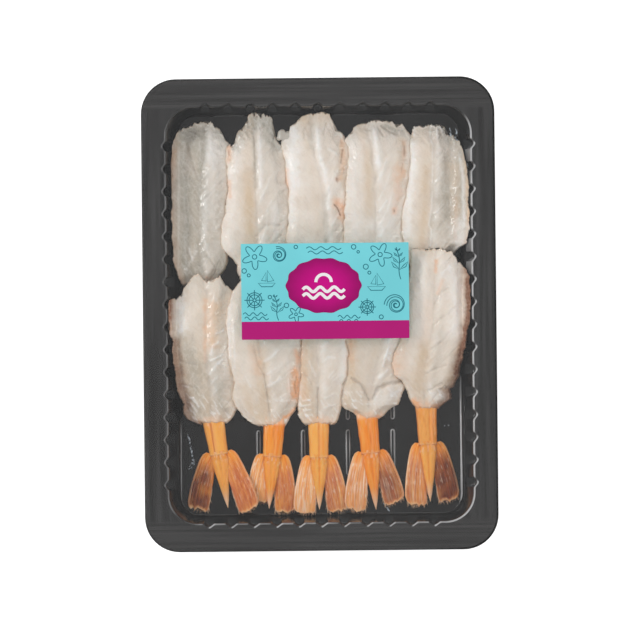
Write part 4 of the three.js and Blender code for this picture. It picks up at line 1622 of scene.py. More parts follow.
    def shell_part(
        self, form: ShrimpForm, name: str, place: tuple, tone: list[Array], mark: list[Array], grain: tuple
    ) -> Piece:
        """Make one closed part of a tail with its colours.

        Args:
            form: the shrimp.
            name: name of the part.
            place: how far down and right along the tail and how high each point lies.
            tone: orange, salmon and brown.
            mark: red, white and shine.
            grain: place across and along the shell, in millimetres.

        Returns:
            The new object.
        """
        wrap = lambda layers: np.stack([np.concatenate([a, a[:, :1]], axis=1) for a in layers], axis=-1)
        part = Modeller.tube(name, self.in_tray(form, *place))
        Modeller.mark_grid(part, "tone", np.clip(wrap(tone), 0, 1))
        Modeller.mark_grid(part, "mark", np.clip(wrap(mark), 0, 1))
        Modeller.mark_grid(part, "grain", wrap((*grain, grain[0] * 0)))
        Modeller.weld(part)
        return part

    def stem_part(self, form: ShrimpForm, tail: TailForm, seed: int) -> Piece:
        """The last ring of the body: a tapered shell with a flat belly, a red line and a rolled joint."""
        size, noise = self.tail, Noise(seed)
        length = tail.lengths[0]
        s = np.concatenate([[-size.inside / length], np.linspace(-0.2, 1, size.rings)])[:, None]
        turn = np.linspace(0, 2 * math.pi, size.stem_corners + 1)[:-1][None, :]
        s, turn = np.broadcast_arrays(s, turn)
        half = mix(size.stem_width, size.joint_width, np.clip(s, 0, 1)) / 2
        tall = mix(size.stem_height, size.joint_height, np.clip(s, 0, 1))
        top = np.sin(turn) > 0
        across = np.sign(np.cos(turn)) * np.abs(np.cos(turn)) ** 0.8
        up = np.where(top, np.abs(np.sin(turn)) ** 0.7, -0.55 * np.abs(np.sin(turn)) ** 0.6)
        path = tail.line + 0.05 * noise.at(s * 14, s * 0, 4)
        line = bell(across - path, 0.07) * top
        keel = bell(across - path - 0.2, 0.13) * top
        strands = noise.at(across * 5 + 9, s * 14, 0.5, 8)
        z = tall * (0.36 + 0.64 * up) - 0.2 * line + 0.18 * keel + 0.07 * strands * top
        roll = bell(s - 0.96, 0.025)
        half *= (1 + 0.03 * roll + 0.02 * noise.at(s * 14, across * 0, 3))
        z = z * (1 + 0.06 * roll) - 0.25 * bell(s - 1, 0.012) * top
        orange, salmon, brown = tail.stem
        past = across > path
        fleck = np.maximum(0, noise.at(across * 9, s * 14 + 30, 0.7, 1.4) - 0.3)
        tone = [
            orange + tail.half * past + 0.35 * strands + 0.15 * noise.at(across * 5 + 3, s * 14, 2, 4),
            salmon * (1 - 0.6 * past) + 0.35 * bell(np.abs(across) - 0.97, 0.12),
            brown + 0.15 * bell(np.abs(across) - 1, 0.06),
        ]
        mark = [
            tail.line_strength * line + 0.6 * bell(s - 0.985, 0.014) * top,
            # The keel's share of white is a painted highlight along that raised line.
            0.12 * keel + 0.6 * fleck * smooth(0.35, 0, s) + 0.5 * smooth(0.06, -0.1, s) + 0.2 * roll,
            0.7 + 0 * s,
        ]
        grain = (across * half, s * length)
        return self.shell_part(form, "stem", (s * length, across * half, z), tone, mark, grain)

    def telson_part(self, form: ShrimpForm, tail: TailForm, seed: int) -> Piece:
        """The middle spike: a broad wedge that ends in a thin sharp point."""
        size, noise = self.tail, Noise(seed + 7)
        s = np.linspace(-0.08, 1, size.rings)[:, None]
        turn = np.linspace(0, 2 * math.pi, size.telson_corners + 1)[:-1][None, :]
        s, turn = np.broadcast_arrays(s, turn)
        half = np.interp(s, size.telson_places, size.telson_shares) * size.telson_width / 2
        half *= (1 + 0.05 * noise.at(s * 20, np.sign(np.cos(turn)), 3))
        tall = mix(size.telson_height, size.telson_tip, np.clip(s, 0, 1))
        across, top = np.cos(turn), np.sin(turn) > 0
        up = np.where(top, np.abs(np.sin(turn)) ** 0.8, -0.5 * np.abs(np.sin(turn)))
        trench = bell(across, 0.16) * top * smooth(0.8, 0.3, s)
        crest = bell(np.abs(across) - 0.36, 0.12) * top * smooth(0.8, 0.4, s)
        strands = noise.at(across * 3, s * 20 + 50, 0.5, 9)
        z = tall * (0.5 + 0.5 * up) - 0.14 * trench + 0.14 * crest + 0.06 * strands * top
        z += 0.35 * smooth(0.12, -0.02, s) * top
        orange, salmon, brown = tail.telson
        fleck = np.maximum(0, noise.at(across * 7, s * 20 + 30, 0.7, 1) - 0.15)
        tone = [
            orange + 0.45 * strands + 0.2 * trench + 0.25 * smooth(0.15, 0, s),
            salmon + 0.35 * smooth(0.6, 1, s) + 0.35 * smooth(0.75, 1, np.abs(across)),
            brown + 0.2 * np.maximum(0, noise.at(across * 6, s * 20, 0.8, 1.2) - 0.2),
        ]
        mark = [
            0.25 * bell(s + 0.02, 0.02) * top + 0.15 * trench,
            0.8 * fleck * smooth(0.22, 0.02, s) + 0.75 * smooth(0.55, 1, s)
            + 0.2 * crest * np.maximum(0, strands),
            0.6 + 0 * s,
        ]
        down = tail.lengths[0] + s * tail.lengths[1]
        return self.shell_part(form, "telson", (down, across * half, z), tone, mark, (across * half, down))

    def paddle_part(self, form: ShrimpForm, tail: TailForm, side: int, seed: int) -> Piece:
        """A tail paddle: a blade with fanned ribs, a thick pale outer edge and a worn tip with hairs."""
        size, noise = self.tail, Noise(seed + 60)
        across_top = np.linspace(-1, 1, size.blade_columns)
        s = np.linspace(0, 1, size.blade_rows)[:, None]
        c = np.concatenate([across_top, across_top[::-6][1:-1]])[None, :]
        top = (np.arange(c.size) < size.blade_columns)[None, :]
        s, c, top = np.broadcast_arrays(s, c, top)
        frame = self.paddle_frame(form, tail, side)
        outer = c * side
        tears = noise.at(c * 4, c * 0, 1.3) + 0.5 * noise.at(c * 4 + 9, c * 0, 0.25)
        worn = 1 - 0.035 * (0.7 + 0.8 * tears) * smooth(0.7, 1, s)
        down, right = self.on_paddle(frame, side, s * worn, outer, s)
        lift = tail.lifts[side > 0]
        salmon, brown, white = tail.right if side > 0 else tail.left
        thick = mix(size.paddle_thickness, size.paddle_tip, s)
        dome = np.sqrt(np.clip(1 - np.abs(c) ** 3, 0, 1))
        grain = (outer * size.blade_span, s * 24)
        ribs = noise.at(*grain, 0.42, 16)
        fine = noise.at(grain[0] + 30, grain[1], 0.2, 7)
        keel = bell(outer - 0.12, 0.06) + 0.8 * bell(outer - 0.72, 0.05)
        rise = thick * (0.3 + 0.7 * dome) + (0.13 * ribs + 0.05 * fine) * dome * smooth(1, 0.9, s)
        rise += 0.2 * keel * smooth(1, 0.6, s) * smooth(0, 0.15, s) + 0.25 * bell(outer - 0.9, 0.08)
        rise += 0.5 * smooth(0.2, 0, s) * dome * smooth(0.9, 0.3, outer) + 0.06 * noise.at(s * 24, c * 4, 1.2)
        z = size.paddle_base + lift * s + np.where(top, rise, 0.3 * thick * (1 - dome))
        patch = noise.at(s * 24, c * 4, 5, 3)
        rim = smooth(0.78, 0.96, outer)
        inward = smooth(0, 0.35, s) * smooth(1, 0.94, s)
        dark = smooth(0.1, 0.5, s) * smooth(1, 0.9, s) * smooth(-1.1, -0.6, outer)
        tone = [
            0.5 + 0.45 * ribs + 0.25 * smooth(0.3, 0, s),
            salmon * (1 - 0.65 * rim) * inward * (0.95 + 0.6 * patch + 0.3 * ribs),
            brown * (1 - 0.7 * rim) * dark * (1.15 + 0.5 * patch + 0.12 * fine) + 0.1 * (1 - dome),
        ]
        streak = np.maximum(0, noise.at(s * 24 + 40, c * 9, 5, 0.6) - 0.1)
        # Painted glints of wet shine, in white, made stronger by the paddle's white.
        painted_glint = smooth(0.58, 0.78, noise.at(s * 24 + 9, c * 9 + 40, 2.4, 0.55)) * smooth(0.9, 0.7, s)
        hairline = smooth(0.95, 1, s) + 0.6 * smooth(-0.88, -0.99, outer) * smooth(0.5, 0.9, s)
        mark = [
            (0.25 * np.maximum(0, -fine) + 0.3 * bell(outer - 0.05, 0.05)) * dome * (1 - rim) * inward,
            white * (0.2 + 1.5 * streak + 0.5 * np.maximum(0, fine)) * inward + 0.5 * hairline + 0.3 * rim
            + (0.35 + 0.5 * white) * painted_glint,
            0.6 + 0.4 * patch,
        ]
        blade = self.shell_part(form, "paddle", (down, right, z), tone, mark, grain)
        return Modeller.join("paddle", [blade, self.fringe(form, frame, side, lift, seed)])

    def paddle_frame(self, form: ShrimpForm, tail: TailForm, side: int) -> tuple[float, float, float, float]:
        """Where a paddle's root lies down and right along the tail, its length and its turn outwards."""
        root_down = tail.lengths[0] - self.tail.set_back
        root_right = side * self.tail.paddle_root
        down, right = self.along_tail(form, tail.tips[side > 0])
        length = math.hypot(down - root_down, right - root_right)
        return root_down, root_right, length, math.atan2(right - root_right, down - root_down)

    def on_paddle(self, frame: tuple, side: int, reach: Array, outer: Array, s: Array) -> tuple:
        """Places on a paddle, as down and right along the tail.

        Args:
            frame: the paddle's root, length and turn.
            side: -1 for the left paddle, 1 for the right.
            reach: share of the length.
            outer: place across, from -1 at the inner edge to 1 at the outer.
            s: share of the length at which the width is taken.

        Returns:
            down and right.
        """
        size = self.tail
        root_down, root_right, length, turn = frame
        shares = np.where(outer > 0, np.interp(s, size.paddle_places, size.outer_shares),
                          np.interp(s, size.paddle_places, size.inner_shares))
        bow = size.paddle_bow * np.sin(math.pi * np.clip(s, 0, 1))
        step = side * (outer * shares * size.paddle_width / 2 + bow)
        down = root_down + reach * length * math.cos(turn) - step * math.sin(turn)
        return down, root_right + reach * length * math.sin(turn) + step * math.cos(turn)

    def fringe(self, form: ShrimpForm, frame: tuple, side: int, lift: float, seed: int) -> Piece:
        """Fine hairs along a paddle's tip and the end of its inner edge, each a thin three-sided spike."""
        draw = np.random.default_rng(seed + 500)
        turn = frame[3]
        corners: list[Array] = []
        for k in range(self.tail.hairs):
            on_tip = k < self.tail.tip_hairs
            outer = draw.uniform(-0.95, 0.85) if on_tip else -0.97
            s = 0.955 - 0.03 * abs(outer) if on_tip else draw.uniform(0.55, 0.95)
            down, right = (float(a) for a in self.on_paddle(frame, side, s, np.float64(outer), np.float64(s)))
            swing = turn + draw.normal(0, 0.12) - (0 if on_tip else side * 0.3)
            long, wide = draw.uniform(*self.tail.hair_lengths), draw.uniform(*self.tail.hair_widths)
            z = self.tail.paddle_base + lift * s + 0.3
            tip = (down + long * math.cos(swing), right + long * math.sin(swing), z - 0.15)
            foot = [(down, right - wide, z), (down, right + wide, z), (down, right, z + 2 * wide)]
            corners.append(np.array([*foot, tip]))
        places = np.array(corners).reshape(-1, 3)
        points = self.in_tray(form, places[:, 0], places[:, 1], places[:, 2])
        faces = [tuple(4 * k + corner for corner in face) for k in range(len(corners))
                 for face in ((0, 2, 1), (0, 1, 3), (1, 2, 3), (2, 0, 3))]
        hairs = Modeller.faced("fringe", points, faces)
        Modeller.mark(hairs, "tone", np.tile((0.25, 0.15, 0), (len(points), 1)))
        Modeller.mark(hairs, "mark", np.tile((0, 0.85, 0.4), (len(points), 1)))
        Modeller.mark(hairs, "grain", points)
        Modeller.weld(hairs, fill=False)
        return hairs


# The back row, with the marks seen on each shrimp

BACK_1 = ShrimpForm(
    head=78.6, end=12.6, stem=-47.2, lean=2, head_glass=0.5, left_tone=(0.84, 0.1), right_tone=(0.48, 0.08),
    painted_flank_shade=-0.8,
    left=path(-59, 66, -59.2, 58, -59.3, 50, -59.2, 37, -59, 28.5, -58.8, 20.6, -57.4, 16.1, -55.4, 12,
        -54.1, 10.8),
    right=path(-35.4, 68.8, -36.2, 60, -35.8, 50, -37.2, 41, -38.4, 34, -37.2, 28, -36.6, 23, -37.4, 20.6,
        -38.6, 17.8, -41.5, 13.5),
    head_line=path(-59.2, 61, -58.4, 70.2, -56.5, 74.4, -52.8, 76.4, -48, 78.3, -45.6, 78.7, -42.6, 77.9,
        -39.2, 74.8, -37.4, 71, -35.2, 68.6),
    furrow=path(-46, 80, -46, 76.4, -46.8, 61.9, -48, 45.8, -48.4, 25.6, -47.4, 12),
    strokes=(
        ridge(1.6, 0.2, -43, 72, -42.6, 60, -43, 40), whitened(3, 0.3, -41.6, 70.5, -41, 62),
        glassy(2.6, 0.45, -46.6, 70, -47, 40, -48, 20), glassy(3.4, 0.35, -56, 32, -53, 18),
        ridge(0.5, 0.25, -56.2, 68, -56.4, 50, -56.5, 34, -56.9, 15.5),
        blushed(1.3, 0.3, -58.9, 66.8, -59.1, 56), glassy(1.2, 0.4, -45.6, 78, -46.6, 62, -48, 46),
        ridge(0.5, 0.3, -46, 30, -44.4, 24), groove(0.4, 0.3, -45, 24, -42, 20),
        groove(0.7, 0.3, -53.4, 69, -50.8, 61, -50, 57), groove(0.4, 0.3, -52.2, 55.2, -50.8, 54),
        groove(0.5, 0.25, -52, 44, -50, 37), groove(0.5, 0.25, -55, 27, -51, 22, -48.8, 20),
        ridge(0.6, 0.3, -49.4, 26, -52.6, 20.6), ridge(0.5, 0.35, -52.6, 27, -51.2, 22.4),
        lined(0.35, 0.4, -50.4, 60, -48.8, 55.4), lined(0.3, 0.35, -50.2, 48, -48.6, 43),
    ),
)
BACK_2 = ShrimpForm(
    head=81.1, end=14.2, stem=-24.4, lean=-1, head_glass=0.8, left_tone=(0, 0.22), right_tone=(0.2, 0.08),
    left=path(-36.9, 68.8, -37.6, 66, -37.2, 59.5, -36.8, 49.8, -38.3, 40.9, -39.9, 34.5, -40.3, 29.7,
        -38.5, 25.5, -35.2, 22.6, -33.4, 20.4, -33.2, 18, -31.8, 14),
    head_line=path(-37.4, 68.6, -33.9, 69.4, -33.1, 72.4, -31.5, 75.6, -29.6, 76, -28.4, 80.1, -26.2, 81.3,
        -18.8, 80.7, -18.3, 76.4, -17.6, 72.6, -16.5, 70, -12, 67.4),
    furrow=path(-25.8, 82, -25.8, 74, -25.4, 66, -25.4, 53.9, -25, 39.7, -24.6, 12),
    strokes=(
        ridge(0.9, 0.4, -23.7, 72, -23.8, 66, -23.3, 59.9, -23, 52),
        tanned(2.6, 0.55, -28.2, 56, -27.8, 25.6), whitened(2.4, 0.3, -32.6, 68, -32.8, 60),
        blushed(1, 0.5, -36.2, 68, -35.9, 62.7), browned(0.3, 0.5, -36.2, 66, -36, 64.6),
        blushed(0.8, 0.4, -36, 53.9, -35.8, 47.8), whitened(2.4, 0.3, -34.6, 57.9, -35.5, 27.6),
        glassy(3.4, 0.6, -27.4, 78.4, -20, 78.4), glassy(1, 0.6, -26.6, 77, -25.6, 66, -25.6, 52),
        whitened(2, 0.3, -17.4, 43, -17, 34), ridge(0.5, 0.3, -24.4, 44.5, -22, 49, -19.6, 55),
        ridge(0.4, 0.2, -23.6, 37, -19, 46), ridge(0.5, 0.25, -23.8, 29, -21, 35, -20.6, 42),
        groove(0.6, 0.3, -24.8, 32, -21.6, 36, -16, 36), groove(0.4, 0.3, -27.4, 76, -24.4, 74.6, -22, 76),
        lined(0.35, 0.45, -25.9, 72, -25.4, 58),
    ),
)
BACK_3 = ShrimpForm(
    head=81.2, end=13, stem=-0.6, lean=2, head_glass=0.2, left_tone=(0, 0.06), right_tone=(0, 0.03),
    left=path(-14.9, 71.6, -15.3, 67.6, -13.5, 61.9, -13.2, 53.9, -12.3, 49.8, -12.3, 40.9, -13.3, 29.7,
        -13, 20),
    head_line=path(-15.2, 69.3, -14.6, 70.8, -11.7, 72.4, -11.2, 76.2, -7.5, 78.4, -6.2, 80.4, -3.6, 80.9,
        0.2, 81.7, 4.1, 81.2, 5.9, 78.8, 6.9, 75.3, 9, 74.3, 12, 70.4),
    furrow=path(-3, 82, -2.7, 75.2, -1.9, 70.6, -1.4, 66, -0.7, 61.5, 0.9, 55.9, 1.5, 51, 2.2, 44.6, 2.4,
        28.4, 0.6, 12),
    strokes=(
        ridge(1, 0.5, -0.2, 74.6, 0.2, 66, 1.4, 61), ridge(1, 0.5, 2.2, 60, 3, 54),
        ridge(1, 0.4, 4.3, 51, 4, 42.6), tanned(1.3, 0.6, -14.4, 66, -13.8, 56),
        blushed(1.1, 0.6, -13.4, 58, -12.9, 48), browned(0.35, 0.5, -13.4, 56, -13, 50),
        whitened(2.6, 0.7, -10, 74, -10.2, 60, -9.6, 52), glassy(1.6, 0.45, -2.8, 76, -2.4, 68),
        whitened(1.6, 0.45, -10.7, 47.8, -10.5, 36),
        blushed(1.1, 0.3, 9.8, 70.6, 10.2, 63.5, 9.8, 57, 8, 54.4), tanned(1.8, 0.7, 9.4, 69, 9.6, 55),
        browned(0.3, 0.7, 9.9, 66.4, 9.2, 61), browned(0.3, 0.55, 10.4, 58.6, 10.2, 57),
        browned(0.45, 0.7, 7.6, 54.8, 7.4, 53.8), browned(0.32, 0.85, 6.3, 44.2, 7.6, 42.8, 8.7, 40),
        blushed(1.8, 0.65, 7.2, 45, 9.8, 42.8, 9.4, 39), glassy(1.2, 0.45, 3.4, 48, 3, 40, 3.2, 30),
        ridge(0.5, 0.35, 4.4, 66.6, 8.4, 64.4), ridge(0.5, 0.3, 8, 58, 6, 54.6),
        ridge(0.5, 0.3, 5, 35.6, 8, 40), tanned(3.4, 0.5, -4.5, 79.6, 3.5, 80),
        groove(0.5, 0.3, -3.4, 77.6, -5.6, 74.4, -5.2, 71), groove(0.5, 0.25, 3.8, 77, 2.6, 73),
    ),
)
BACK_4 = ShrimpForm(
    head=78.2, end=14.4, stem=22.6, lean=-2, head_glass=0.3, left_tone=(0.05, 0.12), right_tone=(0.1, 0.05),
    left=path(10, 71.2, 12.3, 67.6, 11.7, 61.9, 10.9, 53.9, 10.1, 40.9, 9.7, 29.7, 10, 20),
    head_line=path(10.2, 70, 11.5, 71.5, 13.8, 73.7, 14.4, 75.3, 15.7, 76.6, 19.6, 76.9, 21.9, 78, 24.1,
        78.1, 29.6, 78, 31.9, 76, 34.6, 76.2, 36.2, 74.2, 38, 71.6),
    furrow=path(19.4, 80, 19.6, 76, 20.9, 71.2, 21.5, 67.3, 21.8, 61.5, 23.2, 55.9, 22.4, 51.8, 23.2, 45.8,
        23, 29.6, 22.6, 12),
    strokes=(
        ridge(1.3, 0.5, 22.9, 74.4, 23.9, 66, 24.4, 60), tanned(2, 0.4, 20.4, 64.7, 20.6, 40),
        ridge(0.5, 0.35, 24.2, 53.6, 26, 57.5, 27.7, 62.5), ridge(0.5, 0.3, 24.4, 46, 27, 51, 29, 56.6),
        ridge(0.45, 0.3, 24.4, 41, 27.4, 45.6), ridge(0.4, 0.25, 24.6, 36, 27.6, 41, 29.6, 47.6),
        ridge(0.4, 0.25, 24.4, 31, 28.6, 37), groove(0.5, 0.5, 25.8, 76, 28.6, 73.8, 32.2, 72.4),
        groove(0.5, 0.4, 24.2, 75.8, 26.4, 72), glassy(1.4, 0.6, 27, 76, 31.4, 74.2),
        # The two whitened strokes on this line are painted light that lifts the label's shadow off the lower
        # flesh.
        whitened(3, 0.35, 14.8, 70, 14.2, 50, 14.4, 32), whitened(3.4, 0.35, 29, 44, 28, 32, 22, 36),
        blushed(1.1, 0.3, 34.8, 69, 34.7, 63.3, 34, 56), tanned(1.8, 0.5, 34, 70, 33.4, 54),
        browned(0.3, 0.6, 34.9, 67.6, 34.8, 64), browned(0.2, 0.45, 34.2, 60.6, 33.6, 57.6),
        blushed(1.2, 0.6, 30.6, 42, 30.5, 40.8), browned(0.3, 0.6, 30.5, 41.7, 30.5, 41.2),
        blushed(2.2, 0.3, 32.4, 58, 32, 46),
    ),
)
BACK_5 = ShrimpForm(
    head=76.4, end=19.6, stem=46.4, lean=1, head_glass=0.35, left_tone=(0, 0.2), right_tone=(0.4, 0.12),
    left=path(37.9, 71.2, 36.9, 70, 37.1, 61.9, 36.3, 53.9, 35.1, 47.4, 33.5, 40.9, 33.1, 34.5, 33.9, 29.7,
        35, 24),
    right=path(58.9, 66, 59.3, 61.9, 60.2, 53.9, 60.4, 48.2, 60.2, 43, 60.3, 38.7, 60.4, 35, 60.2, 30.5,
        59.6, 28, 57, 26.4, 54, 23, 52, 19),
    head_line=path(34, 71.4, 38.2, 71.6, 38, 74, 38.7, 75.6, 44.5, 76, 51.2, 75.8, 51.8, 72, 54.8, 71.6,
        57.2, 69.4, 58.6, 65.4, 59.4, 60),
    furrow=path(45.2, 78, 45.2, 74.8, 45.3, 69.6, 46.6, 66.8, 45.9, 59.1, 45.9, 53.9, 45.5, 47, 45.2, 38.3,
        44.6, 30, 44.8, 17),
    strokes=(
        ridge(0.3, 0.5, 46.4, 67, 46.2, 62), ridge(0.3, 0.5, 46.3, 59.7, 46, 52.7),
        ridge(0.3, 0.5, 46, 48.8, 45.5, 41.8, 44.5, 35.7, 45.4, 33.7, 45, 27),
        ridge(0.35, 0.4, 45.6, 75, 45.4, 70.4, 46.6, 67.4),
        whitened(1.8, 0.6, 38.6, 68, 38.2, 59, 37, 48.8, 36, 38, 36.2, 32),
        tanned(2.1, 0.45, 43.6, 57, 42.8, 41.8, 41.3, 28), tanned(2.4, 0.5, 54.7, 59.1, 55.2, 38.5),
        whitened(0.8, 0.3, 57.4, 62, 58.3, 54, 58.4, 46, 58.6, 38),
        glassy(2.4, 0.45, 57.6, 62, 58.4, 50, 58.6, 38), tanned(1.2, 0.9, 59.8, 62, 60.3, 50, 60.4, 38),
        ridge(0.6, 0.35, 57, 63.5, 58.2, 55.1, 58.1, 45.4, 58.7, 34.9),
        ridge(0.5, 0.35, 38.9, 72.4, 39.1, 75.2, 44.8, 75.6, 50, 75.1, 50.7, 72),
        whitened(2.6, 0.5, 57.6, 36, 56.9, 28), blushed(1, 0.12, 55.6, 46, 55, 30),
        glassy(3.4, 0.4, 52, 60, 53, 40), ridge(0.4, 0.2, 46.6, 40, 50.6, 44),
        ridge(0.4, 0.2, 46.8, 52, 50.6, 57), groove(0.6, 0.25, 47.4, 33, 51, 38, 54.6, 40),
        groove(0.5, 0.25, 48, 63, 52, 66), ridge(0.4, 0.3, 48.4, 74.6, 48.6, 69),
    ),
)
BACK_ROW = ShrimpRow(Row.BACK, (BACK_1, BACK_2, BACK_3, BACK_4, BACK_5))


# The front row, with the marks and the tail seen on each shrimp

FRONT_1 = ShrimpForm(
    head=17.2, end=-43.2, stem=-43.4, lean=9, head_glass=0.15, left_tone=(0.2, 0.26),
    right_tone=(0.15, 0.2), painted_flank_shade=-1.1,
    left=path(-60.5, 5.5, -60.7, 1, -60.6, -2.6, -60.1, -7.5, -59.3, -10.7, -59.7, -14.7, -58.9, -20.4,
        -58.1, -26.8, -57.3, -32.3, -55.7, -35.7, -55.9, -39.3, -53.4, -42.2, -49.4, -44.2),
    right=path(-34.6, 9.6, -36, 3, -36.4, -2.6, -36, -10.7, -35.8, -18.8, -33.8, -25.2, -34.2, -30.9, -34.4,
        -34.1, -33.6, -37.3, -35.2, -41, -36.5, -42.6, -38.5, -44.2),
    head_line=path(-60.6, 6.2, -58.2, 7.3, -57.8, 6.4, -57, 7.6, -55.3, 8, -54.9, 10.9, -50.3, 16.8, -48.9,
        17.2, -46.6, 14.7, -45.3, 13.4, -42.4, 14.7, -40, 16.4, -39, 13.6, -34.6, 9.4),
    furrow=path(-46.8, 18, -46.8, 13.2, -45.3, 8.3, -45.7, -0.2, -46.1, -8.6, -45.7, -18.6, -45.3, -25.2,
        -44.9, -33.7, -44.4, -44),
    strokes=(
        whitened(2.2, 0.7, -56, 5.6, -56.2, -0.2, -55.6, -5.1), whitened(2.4, 0.1, -51.2, 13, -52.4, -4),
        glassy(4.6, 0.45, -55, -9, -52, -22), glassy(3, 0.35, -42, -14, -41, -36),
        groove(0.5, 0.5, -58.2, 6.8, -57.9, 0, -58.6, -6), browned(1.4, 0.5, -59.6, 6.5, -59.4, 0),
        tanned(1.3, 0.8, -59.4, -1, -59.6, -12), blushed(0.8, 0.28, -46, 6, -46.3, -18.2),
        blushed(2.6, 0.22, -43.4, 4, -43.6, -12), tanned(2.4, 0.7, -43.4, 4, -43, -11),
        tanned(2.2, 0.4, -40.9, 4.4, -41, -6), ridge(0.5, 0.6, -41.6, -7.3, -39, -6.1),
        ridge(0.5, 0.6, -44, -15.7, -43.2, -12.4, -40.7, -10.7), ridge(0.45, 0.5, -44.3, -18.4, -39, -15.9),
        ridge(0.6, 0.5, -44.5, -23.6, -41.4, -19.4, -39.4, -17.8),
        ridge(0.5, 0.3, -44, -27.5, -41.5, -24.8), glassy(4.4, 0.75, -54, -16.7, -50, -36),
        lined(2, 0.6, -57, -22, -56, -28, -53.6, -38), glassy(5, 0.25, -45, -22, -45, -38),
        glassy(2.6, 0.3, -42, -28, -40.4, -37), tanned(1.6, 0.5, -58, -17, -56.6, -30),
        groove(0.5, 0.35, -56.8, -17.6, -53, -19.4, -50, -20), groove(0.5, 0.35, -56.4, -27.4, -50, -29.2),
        ridge(0.5, 0.5, -55.4, -28.2, -53.4, -29), ridge(0.4, 0.55, -51.4, -33.2, -49.4, -36.8),
        ridge(0.4, 0.45, -52.6, -35.4, -50.2, -38.6), ridge(0.35, 0.4, -53.6, -33.4, -51.6, -33.2),
        tanned(0.8, 0.7, -36.2, -22, -35.6, -24), groove(0.7, 0.4, -36.6, -40.4, -38.2, -38.6),
    ),
    tail=TailForm(
        ((-50.4, -78.9), (-29, -79.1)), (0, 3.2), (0.3, 0.08, 0), (0.25, 0.1, 0.03), -0.35, 0.8, 0,
        (0.65, 1, 0.05), (0.8, 0.06, 0.05),
    ),
)
FRONT_2 = ShrimpForm(
    head=19.4, end=-44.4, stem=-18.9, lean=-4, left_tone=(0.04, 0.14), right_tone=(0.12, 0.1),
    left=path(-31, 20, -31.6, 14, -33.4, 11.6, -35.3, 9.2, -37.5, 3, -37.9, -2.6, -37.5, -10.7, -37.1,
        -18.8, -34.9, -25.2, -35.5, -30.9, -35.9, -34.1, -33.7, -38.1, -31.9, -40.7, -28.6, -43.4, -24.5,
        -45.4),
    right=path(-6.8, 0, -6.8, -20, -7.4, -30, -8.8, -35.6, -9.7, -37.3, -10.1, -38.9, -12.5, -42, -14.5,
        -45.2),
    furrow=path(-25, 20, -25, 5.4, -24.7, -16.1, -22.6, -19, -22.6, -25.3, -21.8, -31.7, -20, -46),
    strokes=(
        whitened(1, 0.35, -36.6, 4, -36.6, -16.9), ridge(0.5, 0.3, -34.6, -2.6, -34.4, -21.2),
        glassy(5, 0.15, -17, -14, -17, -30), ridge(0.7, 0.5, -22.4, -18.6, -19.6, -17, -17.2, -14.4),
        ridge(0.6, 0.45, -21.4, -28.8, -18.6, -27.6, -16.1, -25.6), ridge(0.4, 0.3, -21.6, -24, -18, -21.6),
        groove(0.5, 0.4, -26.6, -12, -25.4, -19, -23, -24),
        groove(0.4, 0.4, -22.6, -24, -21.4, -33, -20.6, -40), blushed(2.4, 0.25, -26.6, -12.7, -25, -22.8),
        tanned(2.6, 0.6, -23, -14, -22.6, -24, -22.4, -40), blushed(1.1, 0.7, -9.6, -14.6, -9.2, -19.2),
        blushed(1.5, 1, -10.2, -22.6, -9.4, -26, -10, -32.5),
        browned(0.3, 0.45, -9.6, -25, -10.4, -28, -10, -32), ridge(0.35, 0.5, -12.6, -23.4, -10.8, -22.6),
        ridge(0.3, 0.5, -12.8, -26, -12.4, -31), blushed(1.8, 0.3, -11.2, -24, -11.4, -34),
        blushed(0.7, 1, -15, -41.6, -12.6, -40.4, -10.8, -38.2), tanned(2.4, 0.4, -30, -30, -27, -40),
        ridge(0.4, 0.35, -30, -25, -28, -29), ridge(0.4, 0.3, -17.4, -34, -14, -32),
    ),
    tail=TailForm(
        ((-26.1, -75.7), (-14.5, -80.3)), (0, 0), (0.7, 0, 0), (0.45, 0.03, 0), 0.08, 0.5, 0.1,
        (0.15, 0, 0.6), (0.85, 0.06, 0.12), (13.3, 20.8),
    ),
)
